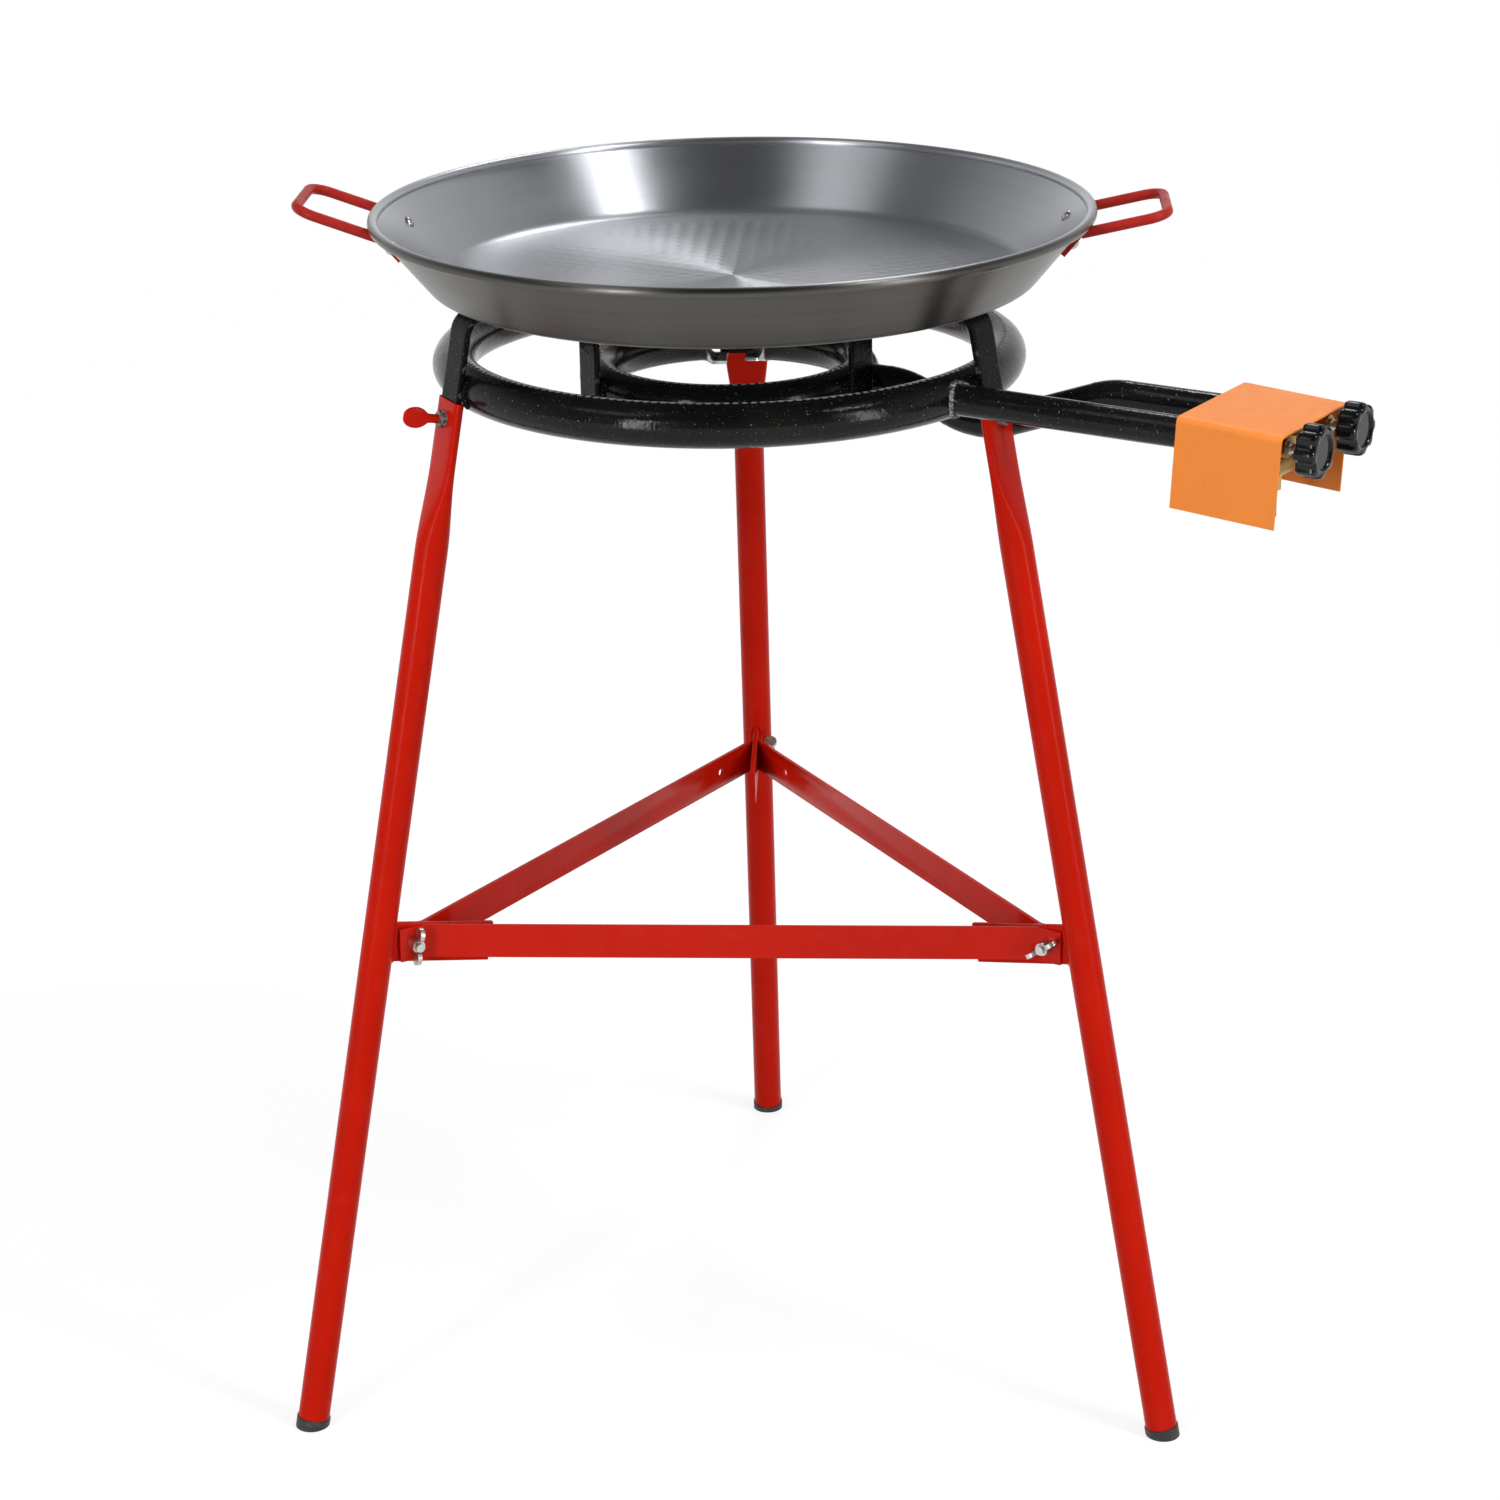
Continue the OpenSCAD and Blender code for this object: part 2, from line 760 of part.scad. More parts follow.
module inner_feed_pipe() {
    placed()
        color(BLACK)
            arm_frame()
                difference() {
                    union() {
                        difference() {
                            inner_pipe_nose(pipe_r, 0);
                            translate([0, 0, inner_z])
                                rotate_extrude()
                                    translate([inner_major, 0])
                                        circle(r = inner_tube_r + seat_gap);
                        }
                        inner_pipe_run(pipe_r, 0);
                    }
                    inner_pipe_nose(pipe_bore_r, 1);
                    inner_pipe_run(pipe_bore_r, 1);
                    air_holes(pipe_off);
                }
}

// Control box

module channel(w, h, r) {
    // Cross-section of the cover: flat top at h with rounded corners, open below
    union() {
        translate([-w / 2, 0])
            square([w, h - r]);
        translate([-(w / 2 - r), 0])
            square([w - 2 * r, h]);
        for (k = [-1, 1])
            translate([k * (w / 2 - r), h - r])
                circle(r = r);
    }
}

module cover_section() {
    difference() {
        channel(cover_w, cover_h, cover_bend_r);
        translate([0, -eps])
            channel(cover_w - 2 * cover_sheet, cover_h - cover_sheet + eps, cover_bend_r - cover_sheet);
    }
}

module control_cover() {
    // Rests on the outer ends of the taps and slopes down towards the knobs
    placed()
        color(ORANGE)
            arm_frame()
                translate([tap_x1, 0, cover_rest])
                    rotate([0, cover_droop, 0])
                        translate([cover_start - tap_x1, 0, cover_sheet - cover_h])
                            rotate([90, 0, 90])
                                linear_extrude(height = cover_len)
                                    cover_section();
}

module gas_manifold() {
    placed()
        color(BRASS)
            arm_frame()
                translate([manifold_x, 0, manifold_z])
                    difference() {
                        rotate([90, 0, 0])
                            cylinder(d = manifold_d, h = 2 * manifold_half, center = true);
                        rotate([90, 0, 0])
                            cylinder(d = manifold_d - 2 * manifold_wall, center = true,
                                h = 2 * (manifold_half - manifold_wall));
                        for (k = [-1, 1])
                            translate([0, k * pipe_off, 0])
                                cylinder(d = gas_bore_d, h = manifold_d);
                        translate([0, 0, -manifold_d])
                            cylinder(d = gas_bore_d, h = manifold_d);
                    }
}

module hose_inlet() {
    placed()
        color(BRASS)
            arm_frame()
                difference() {
                    union() {
                        translate([manifold_x, 0, tail_z])
                            cylinder(d = hose_tail_d, h = hose_tail_len + eps);
                        translate([manifold_x, 0, tail_z + hose_tail_len])
                            cylinder(d = tail_collar_af / cos(30), h = tail_collar_h + manifold_d / 2,
                                $fn = hex_sides);
                    }
                    translate([manifold_x, 0, tail_z - 1])
                        cylinder(d = gas_bore_d, h = hose_tail_len + tail_collar_h + manifold_d);
                    translate([manifold_x, 0, manifold_z])
                        rotate([90, 0, 0])
                            cylinder(d = manifold_d + 2 * seat_gap, h = 2 * manifold_half, center = true);
                }
}

module tap_body(y0) {
    color(BRASS)
        arm_frame()
            difference() {
                union() {
                    translate([0, y0, ring_z]) {
                        tube_x(tap_x0, tap_x1, tap_d / 2);
                        tube_x(tap_x1 - eps, neck_x1, tap_neck_d / 2);
                    }
                    translate([manifold_x, y0, manifold_z])
                        cylinder(d = tap_boss_d, h = manifold_drop);
                }
                translate([manifold_x, 0, manifold_z])
                    rotate([90, 0, 0])
                        cylinder(d = manifold_d + 2 * seat_gap, h = 3 * manifold_half, center = true);
                translate([manifold_x, y0, manifold_z])
                    cylinder(d = gas_bore_d, h = manifold_drop);
                translate([0, y0, ring_z]) {
                    tube_x(tap_x0 - 1, seat_x + 1, gas_bore_d / 2);
                    tube_x(seat_x, neck_x1 + 1, stem_d / 2 + turn_gap);
                }
            }
}

module outer_tap_body() {
    placed()
        tap_body(-pipe_off);
}

module inner_tap_body() {
    placed()
        tap_body(pipe_off);
}

module injector(y0) {
    color(BRASS)
        arm_frame()
            translate([0, y0, ring_z])
                difference() {
                    union() {
                        translate([pipe_end + seat_gap, 0, 0])
                            rotate([0, 90, 0])
                                cylinder(d = flange_af / cos(30), h = flange_t - 2 * seat_gap,
                                    $fn = hex_sides);
                        tube_x(pipe_end - spigot_in, pipe_end + 1, pipe_bore_r - seat_gap);
                        tube_x(pipe_end - spigot_in - nozzle_len, pipe_end - spigot_in + 1, nozzle_d / 2);
                    }
                    tube_x(pipe_end - spigot_in - nozzle_len + 2, pipe_end + flange_t + 1, gas_bore_d / 2);
                    tube_x(pipe_end - spigot_in - nozzle_len - 1, pipe_end, jet_d / 2);
                }
}

module outer_injector() {
    placed()
        injector(-pipe_off);
}

module inner_injector() {
    placed()
        injector(pipe_off);
}

module tap_stem(y0) {
    color(ZINC)
        arm_frame()
            translate([0, y0, ring_z])
                union() {
                    translate([seat_x + 1, 0, 0])
                        rotate([0, 90, 0])
                            cylinder(d1 = gas_bore_d * 0.6, d2 = stem_d, h = 5);
                    tube_x(seat_x + 6, neck_x1 + 2, stem_d / 2);
                    tube_x(neck_x1 + 2 - eps, stem_x1, stem_end_d / 2);
                }
}

module outer_tap_stem() {
    placed()
        tap_stem(-pipe_off);
}

module inner_tap_stem() {
    placed()
        tap_stem(pipe_off);
}

module knob(y0) {
    color(BLACK)
        arm_frame()
            translate([0, y0, ring_z])
                difference() {
                    tube_x(knob_x0, knob_x1, knob_d / 2);
                    for (k = [0 : knob_lobes - 1])
                        rotate([(k + 0.5) * 360 / knob_lobes, 0, 0])
                            translate([0, 0, flute_at])
                                tube_x(knob_x0 - 1, knob_x1 + 1, flute_r);
                    tube_x(knob_x0 - 1, stem_x1 + seat_gap, stem_end_d / 2 + seat_gap);
                }
}

module outer_knob() {
    placed()
        knob(-pipe_off);
}

module inner_knob() {
    placed()
        knob(pipe_off);
}

// Legs

module oval(w, t) {
    // Flattened tube: width w, thickness t
    union() {
        translate([-t / 2, -(w - t) / 2])
            square([t, w - t]);
        for (k = [-1, 1])
            translate([0, k * (w - t) / 2])
                circle(d = t);
    }
}

module leg_skin(w, t, r, top, bottom) {
    // Flattened top, loft and round tube as one solid
    union() {
        translate([0, 0, flat_z])
            linear_extrude(height = top - flat_z)
                oval(w, t);
        hull() {
            translate([0, 0, flat_z - eps])
                linear_extrude(height = 2 * eps)
                    oval(w, t, $fn = loft_fn);
            translate([0, 0, round_z - eps])
                cylinder(r = r, h = 2 * eps, $fn = loft_fn);
        }
        translate([0, 0, bottom])
            cylinder(r = r, h = round_z - bottom);
    }
}

module leg() {
    color(RED)
        post_frame()
            difference() {
                union() {
                    leg_skin(slot_w + 2 * leg_wall, slot_t + 2 * leg_wall, leg_r, -leg_top_drop, tube_end_z);
                    translate([-tab_len, -tab_t / 2, bolt_lz - tab_h / 2])
                        cube([tab_len, tab_t, tab_h]);
                }
                leg_skin(slot_w, slot_t, leg_bore_r, 1 - leg_top_drop, tube_end_z - 1);
                translate([0, 0, -screw_drop])
                    tube_x(0, leg_d, screw_d / 2 + turn_gap);
                translate([bolt_lx, 0, bolt_lz])
                    rotate([90, 0, 0])
                        cylinder(d = bolt_d + 2 * turn_gap, h = leg_d, center = true);
            }
}

module leg_rear() {
    placed()
        rotate([0, 0, rear_a])
            leg();
}

module leg_left() {
    placed()
        rotate([0, 0, left_a])
            leg();
}

module leg_right() {
    placed()
        rotate([0, 0, right_a])
            leg();
}

module foot_cap() {
    color(RUBBER)
        intersection() {
            post_frame()
                union() {
                    translate([0, 0, -leg_len - cap_head])
                        cylinder(d = cap_d, h = 2 * cap_head - seat_gap);
                    translate([0, 0, tube_end_z - cap_head / 2])
                        cylinder(r = leg_bore_r - seat_gap, h = cap_stem + cap_head / 2);
                }
            translate([-big / 2, -big / 2, 0])
                cube([big, big, big]);
        }
}

module foot_cap_rear() {
    placed()
        rotate([0, 0, rear_a])
            foot_cap();
}

module foot_cap_left() {
    placed()
        rotate([0, 0, left_a])
            foot_cap();
}

module foot_cap_right() {
    placed()
        rotate([0, 0, right_a])
            foot_cap();
}

// Thumb screws

module screw_bosses() {
    placed()
        color(ZINC)
            for (a = [rear_a, left_a, right_a])
                rotate([0, 0, a])
                    post_frame()
                        translate([flat_face + seat_gap, 0, -screw_drop])
                            difference() {
                                rotate([0, 90, 0])
                                    cylinder(d = boss_af / cos(30), h = boss_h - seat_gap, $fn = hex_sides);
                                tube_x(-1, boss_h + 1, screw_d / 2 + turn_gap);
                            }
}

module thumb_screw() {
    // Shank with a flat paddle, rounded at both ends
    color(RED)
        post_frame()
            translate([0, 0, -screw_drop])
                union() {
                    tube_x(screw_tip, paddle_x0 + paddle_w / 2, screw_d / 2);
                    translate([paddle_x0 + paddle_len / 2, 0, 0])
                        rotate([90, 90, 0])
                            linear_extrude(height = paddle_t, center = true)
                                oval(paddle_len, paddle_w);
                }
}

module thumb_screw_rear() {
    placed()
        rotate([0, 0, rear_a])
            thumb_screw();
}

module thumb_screw_left() {
    placed()
        rotate([0, 0, left_a])
            thumb_screw();
}

module thumb_screw_right() {
    placed()
        rotate([0, 0, right_a])
            thumb_screw();
}

// Brace

module strap_outline() {
    polygon([
        [strap_ex + strap_t / 2 * sin(30), strap_ey + strap_t / 2 * cos(30)],
        [strap_bx + miter_k * sin(30), strap_y + miter_k * (1 + cos(30))],
        [-strap_bx - miter_k * sin(30), strap_y + miter_k * (1 + cos(30))],
        [-strap_ex - strap_t / 2 * sin(30), strap_ey + strap_t / 2 * cos(30)],
        [-strap_ex + strap_t / 2 * sin(30), strap_ey - strap_t / 2 * cos(30)],
        [-strap_bx + miter_k * sin(30), strap_y - miter_k * (1 + cos(30))],
        [strap_bx - miter_k * sin(30), strap_y - miter_k * (1 + cos(30))],
        [strap_ex - strap_t / 2 * sin(30), strap_ey - strap_t / 2 * cos(30)]
    ]);
}

module bolt_frame(a) {
    // Frame at a brace bolt: +x outwards, +y along the bolt
    rotate([0, 0, a])
        translate([bolt_r, 0, brace_z])
            children();
}

module brace_strap(spares) {
    // Strap seen from the front, with spare holes near the ends named by their side
    color(RED)
        difference() {
            translate([0, 0, brace_z - strap_h / 2])
                linear_extrude(height = strap_h)
                    strap_outline();
            for (a = [left_a, right_a])
                bolt_frame(a)
                    rotate([90, 0, 0])
                        cylinder(d = bolt_d + 2 * turn_gap, h = leg_d, center = true);
            for (s = spares)
                translate([s * (strap_bx - spare_off), strap_y, brace_z])
                    rotate([90, 0, 0])
                        cylinder(d = bolt_d + 2 * turn_gap, h = leg_d, center = true);
        }
}

module brace_strap_front() {
    placed()
        brace_strap([]);
}

module brace_strap_left() {
    placed()
        rotate([0, 0, rear_a - left_a])
            brace_strap([-1]);
}

module brace_strap_right() {
    placed()
        rotate([0, 0, rear_a - right_a])
            brace_strap([1]);
}

module bolt_side(a) {
    // Turns the bolt so that its nut sits on the side seen in the photo
    bolt_frame(a)
        rotate([0, 0, a == left_a ? 0 : 180])
            children();
}

module brace_bolts() {
    placed()
        color(ZINC)
            for (a = [rear_a, left_a, right_a])
                bolt_side(a)
                    rotate([-90, 0, 0])
                        union() {
                            translate([0, 0, -strap_face - seat_gap - bolt_head_h])
                                cylinder(d = bolt_af / cos(30), h = bolt_head_h, $fn = hex_sides);
                            translate([0, 0, -strap_face - bolt_head_h + 1])
                                cylinder(d = bolt_d, h = bolt_end + strap_face + bolt_head_h - 1);
                        }
}

module wing_nut(turn) {
    color(ZINC)
        translate([0, strap_face + seat_gap, 0])
            rotate([-90, 0, 0])
                rotate([0, 0, turn])
                    difference() {
                        union() {
                            cylinder(d1 = nut_hub_d, d2 = nut_hub_d * 0.8, h = nut_hub_h);
                            for (k = [-1, 1])
                                translate([k * wing_reach * 0.62, 0, wing_lift + wing_h * 0.4])
                                    rotate([90, 0, 0])
                                        cylinder(r = wing_reach * 0.36, h = wing_t, center = true);
                            translate([-wing_reach * 0.62, -wing_t / 2, wing_lift])
                                cube([wing_reach * 1.24, wing_t, nut_hub_h - wing_lift - 0.5]);
                        }
                        translate([0, 0, -1])
                            cylinder(d = bolt_d + 2 * turn_gap, h = wing_h + nut_hub_h);
                    }
}

module wing_nut_rear() {
    placed()
        bolt_side(rear_a)
            wing_nut(35);
}

module wing_nut_left() {
    placed()
        bolt_side(left_a)
            wing_nut(80);
}

module wing_nut_right() {
    placed()
        bolt_side(right_a)
            wing_nut(35);
}

pan_bowl();
pan_handle_left();
pan_handle_right();
pan_rivets();
outer_ring();
inner_ring();
support_rear();
support_left();
support_right();
outer_feed_pipe();
inner_feed_pipe();
control_cover();
gas_manifold();
hose_inlet();
outer_tap_body();
inner_tap_body();
outer_injector();
inner_injector();
outer_tap_stem();
inner_tap_stem();
outer_knob();
inner_knob();
leg_rear();
leg_left();
leg_right();
foot_cap_rear();
foot_cap_left();
foot_cap_right();
screw_bosses();
thumb_screw_rear();
thumb_screw_left();
thumb_screw_right();
brace_strap_front();
brace_strap_left();
brace_strap_right();
brace_bolts();
wing_nut_rear();
wing_nut_left();
wing_nut_right();
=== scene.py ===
import bmesh
import bpy
import numpy as np
from mathutils import Matrix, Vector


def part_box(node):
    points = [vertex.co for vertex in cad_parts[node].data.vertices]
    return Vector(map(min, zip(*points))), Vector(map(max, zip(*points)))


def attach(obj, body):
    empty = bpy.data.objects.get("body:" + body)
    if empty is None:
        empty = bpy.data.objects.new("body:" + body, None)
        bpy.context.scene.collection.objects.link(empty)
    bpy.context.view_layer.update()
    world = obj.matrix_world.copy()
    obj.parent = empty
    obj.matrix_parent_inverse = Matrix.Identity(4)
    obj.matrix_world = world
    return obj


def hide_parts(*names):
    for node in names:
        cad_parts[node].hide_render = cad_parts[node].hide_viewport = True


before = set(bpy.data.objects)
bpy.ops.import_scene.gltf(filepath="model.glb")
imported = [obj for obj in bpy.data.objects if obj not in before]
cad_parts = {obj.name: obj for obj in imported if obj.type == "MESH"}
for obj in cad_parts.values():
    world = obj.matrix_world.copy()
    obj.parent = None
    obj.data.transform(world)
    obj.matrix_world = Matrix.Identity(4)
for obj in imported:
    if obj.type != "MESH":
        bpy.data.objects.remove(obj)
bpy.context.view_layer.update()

# Legs: three mild steel tubes, sprayed gloss red. The top of each is pressed flat to take
# a support bar, and a flat tab for the braces is welded to its inner side lower down.
LEG_TURNS = {"rear": 90, "left": 210, "right": 330}
RING_LEVEL = 729.0
POST_RADIUS = 202.36
LEG_LEAN = np.radians(11)
LEG_RADIUS, LEG_WALL = 11.0, 1.35
FLAT_HALF_WIDTH, FLAT_HALF_THICK = 16.0, 3.5
LEG_TOP, FLAT_END, ROUND_START, TUBE_END = -5.0, -47.0, -107.0, -735.64
LEG_COLUMNS, WORN_BAND = 65, 1.5
TAB_LEVEL, TAB_TIP, TAB_ROOT = -381.137, -83.0, -9.0
TAB_HEIGHT, TAB_THICK, TAB_EDGE = 28.0, 4.0, 0.8
SEAM_OUT, SEAM_SIDE, SEAM_HALF, SEAM_BEAD, SEAM_STEPS = -10.4, 2.9, 14.5, 1.7, 60
EDGE_BAND = 1.8
BEAD_SIDES, BEAD_SWELL, DROP_LENGTH = 10, 0.16, 1.5
MERGE_WITHIN, SHARP_FROM = 2e-6, 35

ring_low, ring_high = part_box("outer_ring")
burner_axis = [(ring_low[0] + ring_high[0]) / 2, (ring_low[1] + ring_high[1]) / 2]


def around(grid, turn):
    """Millimetres about the burner's axis, turned round it by so many degrees, as metres in
    the frame. Channels after x, y and z are carried along unchanged."""
    grid = np.array(grid, float)
    x, y = grid[..., 0].copy(), grid[..., 1].copy()
    c, s = np.cos(np.radians(turn)), np.sin(np.radians(turn))
    grid[..., 0] = (c * x - s * y) * 0.001 + burner_axis[0]
    grid[..., 1] = (s * x + c * y) * 0.001 + burner_axis[1]
    grid[..., 2] *= 0.001
    return grid


def on_leg(grid):
    """Leg coordinates, x outwards, y sideways and z up along the leg, to burner coordinates
    with x along the leg's direction: a turn by the lean about a point on the post."""
    grid = np.array(grid, float)
    x, z = grid[..., 0].copy(), grid[..., 2].copy()
    grid[..., 0] = POST_RADIUS + x * np.cos(LEG_LEAN) - z * np.sin(LEG_LEAN)
    grid[..., 2] = RING_LEVEL + x * np.sin(LEG_LEAN) + z * np.cos(LEG_LEAN)
    return grid


def capped(grid):
    """The grid with a pole at each end: a row of copies of the end ring's mean point."""
    first = np.broadcast_to(grid[0, :-1].mean(0), grid[0].shape)[None]
    last = np.broadcast_to(grid[-1, :-1].mean(0), grid[0].shape)[None]
    return np.concatenate([first, grid, last])


def carry(outline, path, across, scale=1.0):
    """A closed outline carried along a path: point = path + scale (a side + b up), where side
    is `across` made square to the path and up is square to both. More channels go along."""
    path = np.asarray(path, float)
    along = np.gradient(path, axis=0)
    along /= np.linalg.norm(along, axis=1, keepdims=True)
    side = np.asarray(across, float) - along * (along @ np.asarray(across, float))[:, None]
    side /= np.linalg.norm(side, axis=1, keepdims=True)
    up = np.cross(along, side)
    scale = np.broadcast_to(scale, len(path))[:, None, None]
    offset = outline[:, :1] * side[:, None] + outline[:, 1:2] * up[:, None]
    points = path[:, None] + scale * offset
    more = np.broadcast_to(outline[:, 2:], (len(path), len(outline), outline.shape[1] - 2))
    return np.concatenate([points, more], -1)


def bar_outline(width, thick, edge):
    """A flat bar's section: quarter circles at its four corners, and points just inside them
    on the wide faces. The third channel, wear, is 1 on the corners and 0 on the faces."""
    turn = np.radians(np.arange(4)[:, None] * 90 + np.linspace(0, 90, 4))
    corners = np.array([[1, 1], [-1, 1], [-1, -1], [1, -1]])
    centre = corners * [width / 2 - edge, thick / 2 - edge]
    arcs = centre[:, None] + edge * np.stack([np.cos(turn), np.sin(turn)], -1)
    arcs = np.concatenate([arcs, np.ones((4, 4, 1))], -1)
    inside = width / 2 - edge - EDGE_BAND
    top = np.array([[inside, thick / 2, 0], [-inside, thick / 2, 0]])
    under = top * [-1, -1, 1]
    return np.concatenate([arcs[0], top, arcs[1], arcs[2], under, arcs[3], arcs[0][:1]])


def circle(radius, steps):
    """A circle as a closed outline."""
    turn = np.linspace(0, 2 * np.pi, steps + 1)
    return radius * np.stack([np.cos(turn), np.sin(turn)], -1)


def weld_bead(path, across, radius):
    """A weld bead: a small tube along a path, whose radius swells with each drop of weld, as
    1 + swell times the sine of the drops laid so far, and runs out at both ends."""
    path = np.asarray(path, float)
    laid = np.concatenate([[0], np.cumsum(np.linalg.norm(np.diff(path, axis=0), axis=1))])
    swell = 1 + BEAD_SWELL * np.sin(2 * np.pi * laid / (DROP_LENGTH * radius))
    run_out = np.sqrt(np.clip(np.minimum(laid, laid[-1] - laid) / radius, 0.02, 1))
    return capped(carry(circle(radius, BEAD_SIDES), path, across, swell * run_out))


def make_piece(name, grids, finish, body, stands_for=(), sharp=SHARP_FROM):
    """One object from grids of points (x, y, z, and where given wear, u, v): a quad between
    each four neighbours, doubles merged at seams and poles, faces turned outwards. On the pan the
    wear channel marks painted shade, and round the ring ports a painted highlight."""
    points, quads, start = [], [], 0
    for grid in grids:
        rows, columns, channels = grid.shape
        corner = start + np.arange(rows - 1)[:, None] * columns + np.arange(columns - 1)
        quad = np.stack([corner, corner + 1, corner + columns + 1, corner + columns], -1)
        quads.append(quad.reshape(-1, 4))
        points.append(np.pad(grid.reshape(-1, channels), ((0, 0), (0, 6 - channels))))
        start += rows * columns
    points, quads = np.concatenate(points), np.concatenate(quads)
    mesh = bpy.data.meshes.new(name)
    mesh.vertices.add(len(points))
    mesh.vertices.foreach_set("co", points[:, :3].ravel())
    mesh.loops.add(quads.size)
    mesh.loops.foreach_set("vertex_index", quads.ravel())
    mesh.polygons.add(len(quads))
    mesh.polygons.foreach_set("loop_start", np.arange(0, quads.size, 4))
    mesh.update(calc_edges=True)
    wear_and_painted_light = mesh.attributes.new("wear_and_painted_light", "FLOAT", "POINT")
    wear_and_painted_light.data.foreach_set("value", points[:, 3].copy())
    wrap = mesh.uv_layers.new(name="wrap")
    wrap.uv.foreach_set("vector", points[quads.ravel()][:, 4:].ravel())
    work = bmesh.new()
    work.from_mesh(mesh)
    bmesh.ops.remove_doubles(work, verts=work.verts, dist=MERGE_WITHIN)
    bmesh.ops.recalc_face_normals(work, faces=work.faces)
    work.to_mesh(mesh)
    work.free()
    mesh.polygons.foreach_set("use_smooth", np.ones(len(mesh.polygons), bool))
    mesh.set_sharp_from_angle(angle=np.radians(sharp))
    piece = bpy.data.objects.new(name, mesh)
    bpy.context.scene.collection.objects.link(piece)
    mesh.materials.append(finish)
    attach(piece, body)
    if stands_for:
        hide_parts(*stands_for)


def new_finish(name):
    """An empty node material."""
    finish = bpy.data.materials.new(name)
    finish.use_nodes = True
    return finish


def add(finish, kind, inputs, out=0, **options):
    """A shader node: its sockets set or linked from `inputs`; one of its outputs is returned."""
    node = finish.node_tree.nodes.new("ShaderNode" + kind)
    for option, value in options.items():
        setattr(node, option, value)
    for socket, value in inputs.items():
        if isinstance(value, bpy.types.NodeSocket):
            finish.node_tree.links.new(value, node.inputs[socket])
        else:
            node.inputs[socket].default_value = value
    return node.outputs[out]


def place(finish):
    """The point on the piece, in metres."""
    return add(finish, "TexCoord", {}, "Object")


def noise(finish, where, scale, detail=2.0):
    """Soft noise from 0 to 1, `scale` lumps to the metre."""
    return add(finish, "TexNoise", {"Vector": where, "Scale": scale, "Detail": detail})


def spread(finish, value, low, high, to_low, to_high):
    """A value stretched from one span to another and held at its ends."""
    spans = {"From Min": low, "From Max": high, "To Min": to_low, "To Max": to_high}
    return add(finish, "MapRange", {"Value": value, **spans})


def blend(finish, share, first, second):
    """One colour changing to another as the share goes from 0 to 1."""
    return add(finish, "Mix", {0: share, 6: first, 7: second}, 2, data_type="RGBA")


def work_out(finish, operation, first, second):
    """Sum, product or comparison of two values."""
    return add(finish, "Math", {0: first, 1: second}, operation=operation)


def relief(finish, height, depth, strength=1.0):
    """A bump of so many metres."""
    return add(finish, "Bump", {"Height": height, "Distance": depth, "Strength": strength})


def shade(finish, **sockets):
    """Sets or links the shader's sockets, with _ for a space in their names."""
    shader = finish.node_tree.nodes["Principled BSDF"]
    for socket, value in sockets.items():
        target = shader.inputs[socket.replace("_", " ")]
        if isinstance(value, bpy.types.NodeSocket):
            finish.node_tree.links.new(value, target)
        else:
            target.default_value = value


def paint(name, gloss):
    """Red paint of a given gloss: slow drifts of tone, a thin film of dust, and small chips down
    to dark steel where edges are worn."""
    finish = new_finish(name)
    spot = place(finish)
    drift = noise(finish, spot, 14, 3)
    tone = blend(finish, drift, (0.50, 0.008, 0.001, 1), (0.62, 0.012, 0.002, 1))
    dusty = spread(finish, noise(finish, spot, 60, 6), 0.55, 0.8, 0, 0.05)
    tone = blend(finish, dusty, tone, (0.62, 0.13, 0.10, 1))
    wear_and_painted_light = add(finish, "Attribute", {}, "Fac", attribute_name="wear_and_painted_light")
    worn = work_out(finish, "MULTIPLY", wear_and_painted_light, noise(finish, spot, 210, 4))
    chips = spread(finish, worn, 0.66, 0.70, 0, 1)
    shade(finish, Base_Color=blend(finish, chips, tone, (0.035, 0.022, 0.018, 1)),
          Roughness=spread(finish, noise(finish, spot, 45, 4), 0.3, 0.7, 0.17, 0.30),
          Specular_IOR_Level=gloss,
          Normal=relief(finish, noise(finish, spot, 420, 2), 0.00012, 0.6))
    return finish


red_paint = paint("red_paint", 0.06)
strap_paint = paint("strap_paint", 0.15)


def leg_wall(height, inset):
    """Rings of the leg's wall: x = r cos f and y = c tanh(3 sin f) / tanh 3 + r sin f. Down the
    flare a smooth step takes r from half the pressed thickness to the tube's radius and c to 0."""
    step = np.clip((FLAT_END - height) / (FLAT_END - ROUND_START), 0, 1)
    step = step ** 2 * (3 - 2 * step)
    radius = (FLAT_HALF_THICK + (LEG_RADIUS - FLAT_HALF_THICK) * step - inset)[:, None]
    straight = ((FLAT_HALF_WIDTH - FLAT_HALF_THICK) * (1 - step))[:, None]
    turn = np.linspace(0, 2 * np.pi, LEG_COLUMNS)
    x = radius * np.cos(turn)
    y = straight * np.tanh(3 * np.sin(turn)) / np.tanh(3) + radius * np.sin(turn)
    z = np.broadcast_to(height[:, None], x.shape)
    worn = (height > LEG_TOP - WORN_BAND) & (inset < LEG_WALL)
    return np.stack([x, y, z, np.broadcast_to(worn[:, None], x.shape)], -1)


wall = np.concatenate([np.linspace(TUBE_END, ROUND_START, 9),
                       np.linspace(ROUND_START, FLAT_END, 25)[1:],
                       np.linspace(FLAT_END, LEG_TOP - 2, 6)[1:], [LEG_TOP - 0.4]])
mouth = np.array([LEG_TOP, LEG_TOP, LEG_TOP - 0.4, LEG_TOP - 8, FLAT_END - 20])
mouth_inset = np.array([0.3, LEG_WALL - 0.3, LEG_WALL, LEG_WALL, LEG_WALL])
leg_skin = leg_wall(np.concatenate([wall, mouth]),
                    np.concatenate([np.zeros(len(wall)), mouth_inset]))
tab_path = np.stack([np.linspace(TAB_TIP, TAB_ROOT, 3), np.zeros(3), np.full(3, TAB_LEVEL)], -1)
tab = carry(bar_outline(TAB_HEIGHT, TAB_THICK, TAB_EDGE), tab_path, (0, 0, 1))
leg_grids = [capped(leg_skin), capped(tab)]
